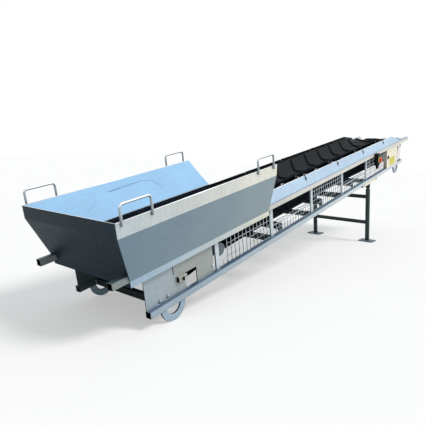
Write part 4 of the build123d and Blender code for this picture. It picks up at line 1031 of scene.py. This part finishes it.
# Where the hooks of the idlers' bars and the heads of the take-up screws begin
HOOK_ACROSS, HOOK_TOP = 322, 368
SCREW_ACROSS = 344.5


def in_tube(low):
    """A test for the inside of a rail whose underside is at a height."""
    return lambda place, normal: (abs(normal.x) < 0.5 and max(abs(abs(place.y) - RAIL_MIDDLE),
                                                              abs(place.z - low - RAIL / 2)) < RAIL / 2 - 1.5)


def faces_in(place, normal):
    """Whether a face looks from the far side at the conveyor's middle."""
    return place.y > 0 and normal.y < -0.5


def on_top(place, normal):
    return place.z > HOPPER_TOP - 1 and normal.z > 0.5


def on_lining(place, normal):
    return normal.y * place.y < 0 and normal.z > 0.4 and place.z > FRAME_HEIGHT


def on_flange(place, normal):
    return place.z < FLANGE_TOP + 0.5


def towards_foot(place, normal):
    return normal.x < -0.5


def rail_end(place, normal):
    return abs(normal.x) > 0.9


def foot_end(place, normal):
    return place.x < 0 and normal.x < -0.9


def on_rim(place, normal):
    return abs(normal.y) < 0.5


def on_ears(place, normal):
    return place.z < -SHOE_BASE - 1


def skirt_inside(place, normal):
    return place.z > FRAME_HEIGHT + 8 and normal.y * place.y < 0


def skirt_foot(place, normal):
    return normal.z > 0.9 and place.z < FRAME_HEIGHT + 6


def skirt_edge(place, normal):
    return normal.z > 0.5 and place.z > FRAME_HEIGHT + 20


def on_hook(place, normal):
    """Whether a face is on the part of an idler's bar that hooks over the skirt."""
    return abs(place.y) > HOOK_ACROSS and place.z < HOOK_TOP


def on_screw(place, normal):
    """Whether a face is on a take-up block's screw head or looks at the foot."""
    return abs(place.y) > SCREW_ACROSS or normal.x < -0.5


# Tops of the hopper walls take a painted highlight, the far lining a painted sky reflection, the flange
# painted light along it
for node in both("hopper_wall"):
    dress(node, SHEET, 1.2, flat=True, other=((EDGE, on_top), (LINING, on_lining), (FLANGE, on_flange)))
# The hopper front in painted shade, its top edge a painted highlight
dress("hopper_front", FRONT, 1.0, other=((EDGE, on_top),), flat=True)
# Inside of the tubes near-black and the foot ends darker: painted shade
for node in both("rail_upper"):
    dress(node, UPPER, 2.5, 3, flat=True, other=((DARK, in_tube(UPPER_RAIL_UNDERSIDE)), (SHADED, foot_end)))
# Inside of the tubes, the far inner faces and the open ends darker: painted shade
for node in both("rail_lower"):
    dress(node, LOWER, 2.5, 3, flat=True, other=((DARK, in_tube(0)), (SHADED, faces_in), (DEEP_SHADE, rail_end)))
for node in both("posts"):
    dress(node, FRAME, 1.5, other=((SHADED, faces_in),), flat=True)
# The eyes' bore rims near-black: painted shade
for node in both("lifting_eyes"):
    dress(node, EYE, 1.5, other=((DEEP_SHADE, on_rim),))
# The shoe's ears in the legs' dark tone and its faces towards the foot near-black: painted shade
for node in both("leg_shoe"):
    dress(node, SHOE, 1.5, other=((LEG, on_ears), (DEEP_SHADE, towards_foot)), flat=True)
# The far inner faces and faces towards the foot darker: painted shade
for node in both("foot_plate"):
    dress(node, PLATE, 1.0, other=((SHADED, faces_in), (DEEP_SHADE, towards_foot)), flat=True)
for node in both("head_plate"):
    dress(node, HEAD, 1.0, other=((SHADED, faces_in),), flat=True)
# Inner faces and foot of the skirts near-black as painted shade, their top edge a painted highlight
for node in both("skirt"):
    dress(node, SKIRT, 1.0, flat=True,
          other=((DEEP_SHADE, skirt_inside), (DEEP_SHADE, skirt_foot), (EDGE, skirt_edge)))
# Legs in painted shade
for node in both("stand_leg"):
    dress(node, LEG, 1.0)
for node in both("base_plate"):
    dress(node, BASE, 2.0, flat=True)
# Crossbars, pins and cross tubes in painted shade
dress("stand_crossbars", CROSS, 0)
dress("stand_pins", LEG, 0.8)
dress("cross_tubes", CROSS, 3.0, 3)
dress("return_brackets", SHADED, 1.0, flat=True)
# Aprons navy: painted sky light in shade
for node in ("hopper_aprons", "tail_apron"):
    dress(node, APRON, 1.5)
# Drums, rollers and idler frames near-black as painted shade; the idlers' hooks keep the zinc
for node in ("head_drum", "tail_drum", "return_rollers"):
    dress(node, ROLLER_SHADE, 1.0)
dress("snub_rollers", ROLLER, 1.0)
dress("idler_rollers", ROLLER_SHADE, 1.0)
dress("idler_frames", ROLLER_SHADE, 0.8, other=((FRAME, on_hook),), flat=True)
# Screw heads and faces towards the foot near-black: painted shade
dress("take_up_blocks", TAKE_UP, 1.2, other=((DEEP_SHADE, on_screw),), flat=True)
dress("blank_plate", YELLOW_PLATE, 0.4, flat=True)

dress_belt()
make_guards()
make_handles()
make_controls()
make_bolts()
make_foot_covers()
make_edges()
make_scuffs()
make_washers()
make_beads()
make_leg_beads()
make_rims()
make_bearing_covers()


# Stage: pale floor, white background, soft light

WHITE = (1, 1, 1, 1)
SKY, SKY_STRENGTH = (0.93, 0.97, 1.0, 1), 0.5
FLOOR_TONE = (0.97, 0.97, 0.97, 1)
# Share of plain white in the floor as the camera sees it, so that it runs into the background
FLOOR_GLOW = 0.42
FLOOR_HALF = 40.0
SUN_STRENGTH, SUN_WIDTH = 2.1, radians(20)
SUN_COLOUR = (1.0, 0.985, 0.96)
SUN_WAY = (-0.3, 0.55, -0.78)


def make_world():
    """White to the camera, through clear things and in reflections; a pale sky as the light on all else."""
    world = bpy.data.worlds.new("studio")
    bpy.context.scene.world = world
    world.use_nodes = True
    tree = world.node_tree
    tree.nodes.clear()

    def add(kind, *inputs, **settings):
        made = tree.nodes.new("ShaderNode" + kind)
        for key, value in settings.items():
            setattr(made, key, value)
        for socket, value in zip(made.inputs, inputs):
            if isinstance(value, bpy.types.NodeSocket):
                tree.links.new(value, socket)
            else:
                socket.default_value = value
        return made

    rays = add("LightPath").outputs
    direct = add("Math", rays["Is Camera Ray"], rays["Is Transmission Ray"], operation="MAXIMUM")
    seen = add("Math", direct.outputs[0], rays["Is Glossy Ray"], operation="MAXIMUM")
    lit = add("Background", SKY, SKY_STRENGTH)
    white = add("Background", WHITE)
    mix = add("MixShader", seen.outputs[0], lit.outputs[0], white.outputs[0])
    add("OutputWorld", mix.outputs[0])


def make_floor():
    s = Shader("floor", 0.0, 0.9)
    s.colour(s.scaled(s.plain(FLOOR_TONE), s.span(s.noise(1.5, 3), 0.3, 0.7, 0.99, 1.01)))
    s.main.inputs["Specular IOR Level"].default_value = 0.0
    white = s.add("Emission", {"Color": WHITE, "Strength": 1.0})
    share = s.math("MULTIPLY", s.add("LightPath").outputs["Is Camera Ray"], FLOOR_GLOW)
    look = s.add("MixShader", {0: share, 1: s.main.outputs[0], 2: white.outputs[0]})
    s.tree.links.new(look.outputs[0], s.tree.nodes["Material Output"].inputs[0])
    mesh = bpy.data.meshes.new("floor")
    corners = [(x * FLOOR_HALF, y * FLOOR_HALF, 0) for x, y in ((-1, -1), (1, -1), (1, 1), (-1, 1))]
    mesh.from_pydata(corners, [], [(0, 1, 2, 3)])
    mesh.materials.append(s.material)
    floor = bpy.data.objects.new("floor", mesh)
    bpy.context.scene.collection.objects.link(floor)


def make_sun():
    sun = bpy.data.lights.new("key", "SUN")
    sun.energy = SUN_STRENGTH
    sun.angle = SUN_WIDTH
    sun.color = SUN_COLOUR
    lamp = bpy.data.objects.new("key", sun)
    bpy.context.scene.collection.objects.link(lamp)
    lamp.rotation_euler = Vector(SUN_WAY).to_track_quat("-Z", "Y").to_euler()


bpy.context.scene.view_settings.view_transform = "Standard"
make_world()
make_floor()
make_sun()
make_camera()
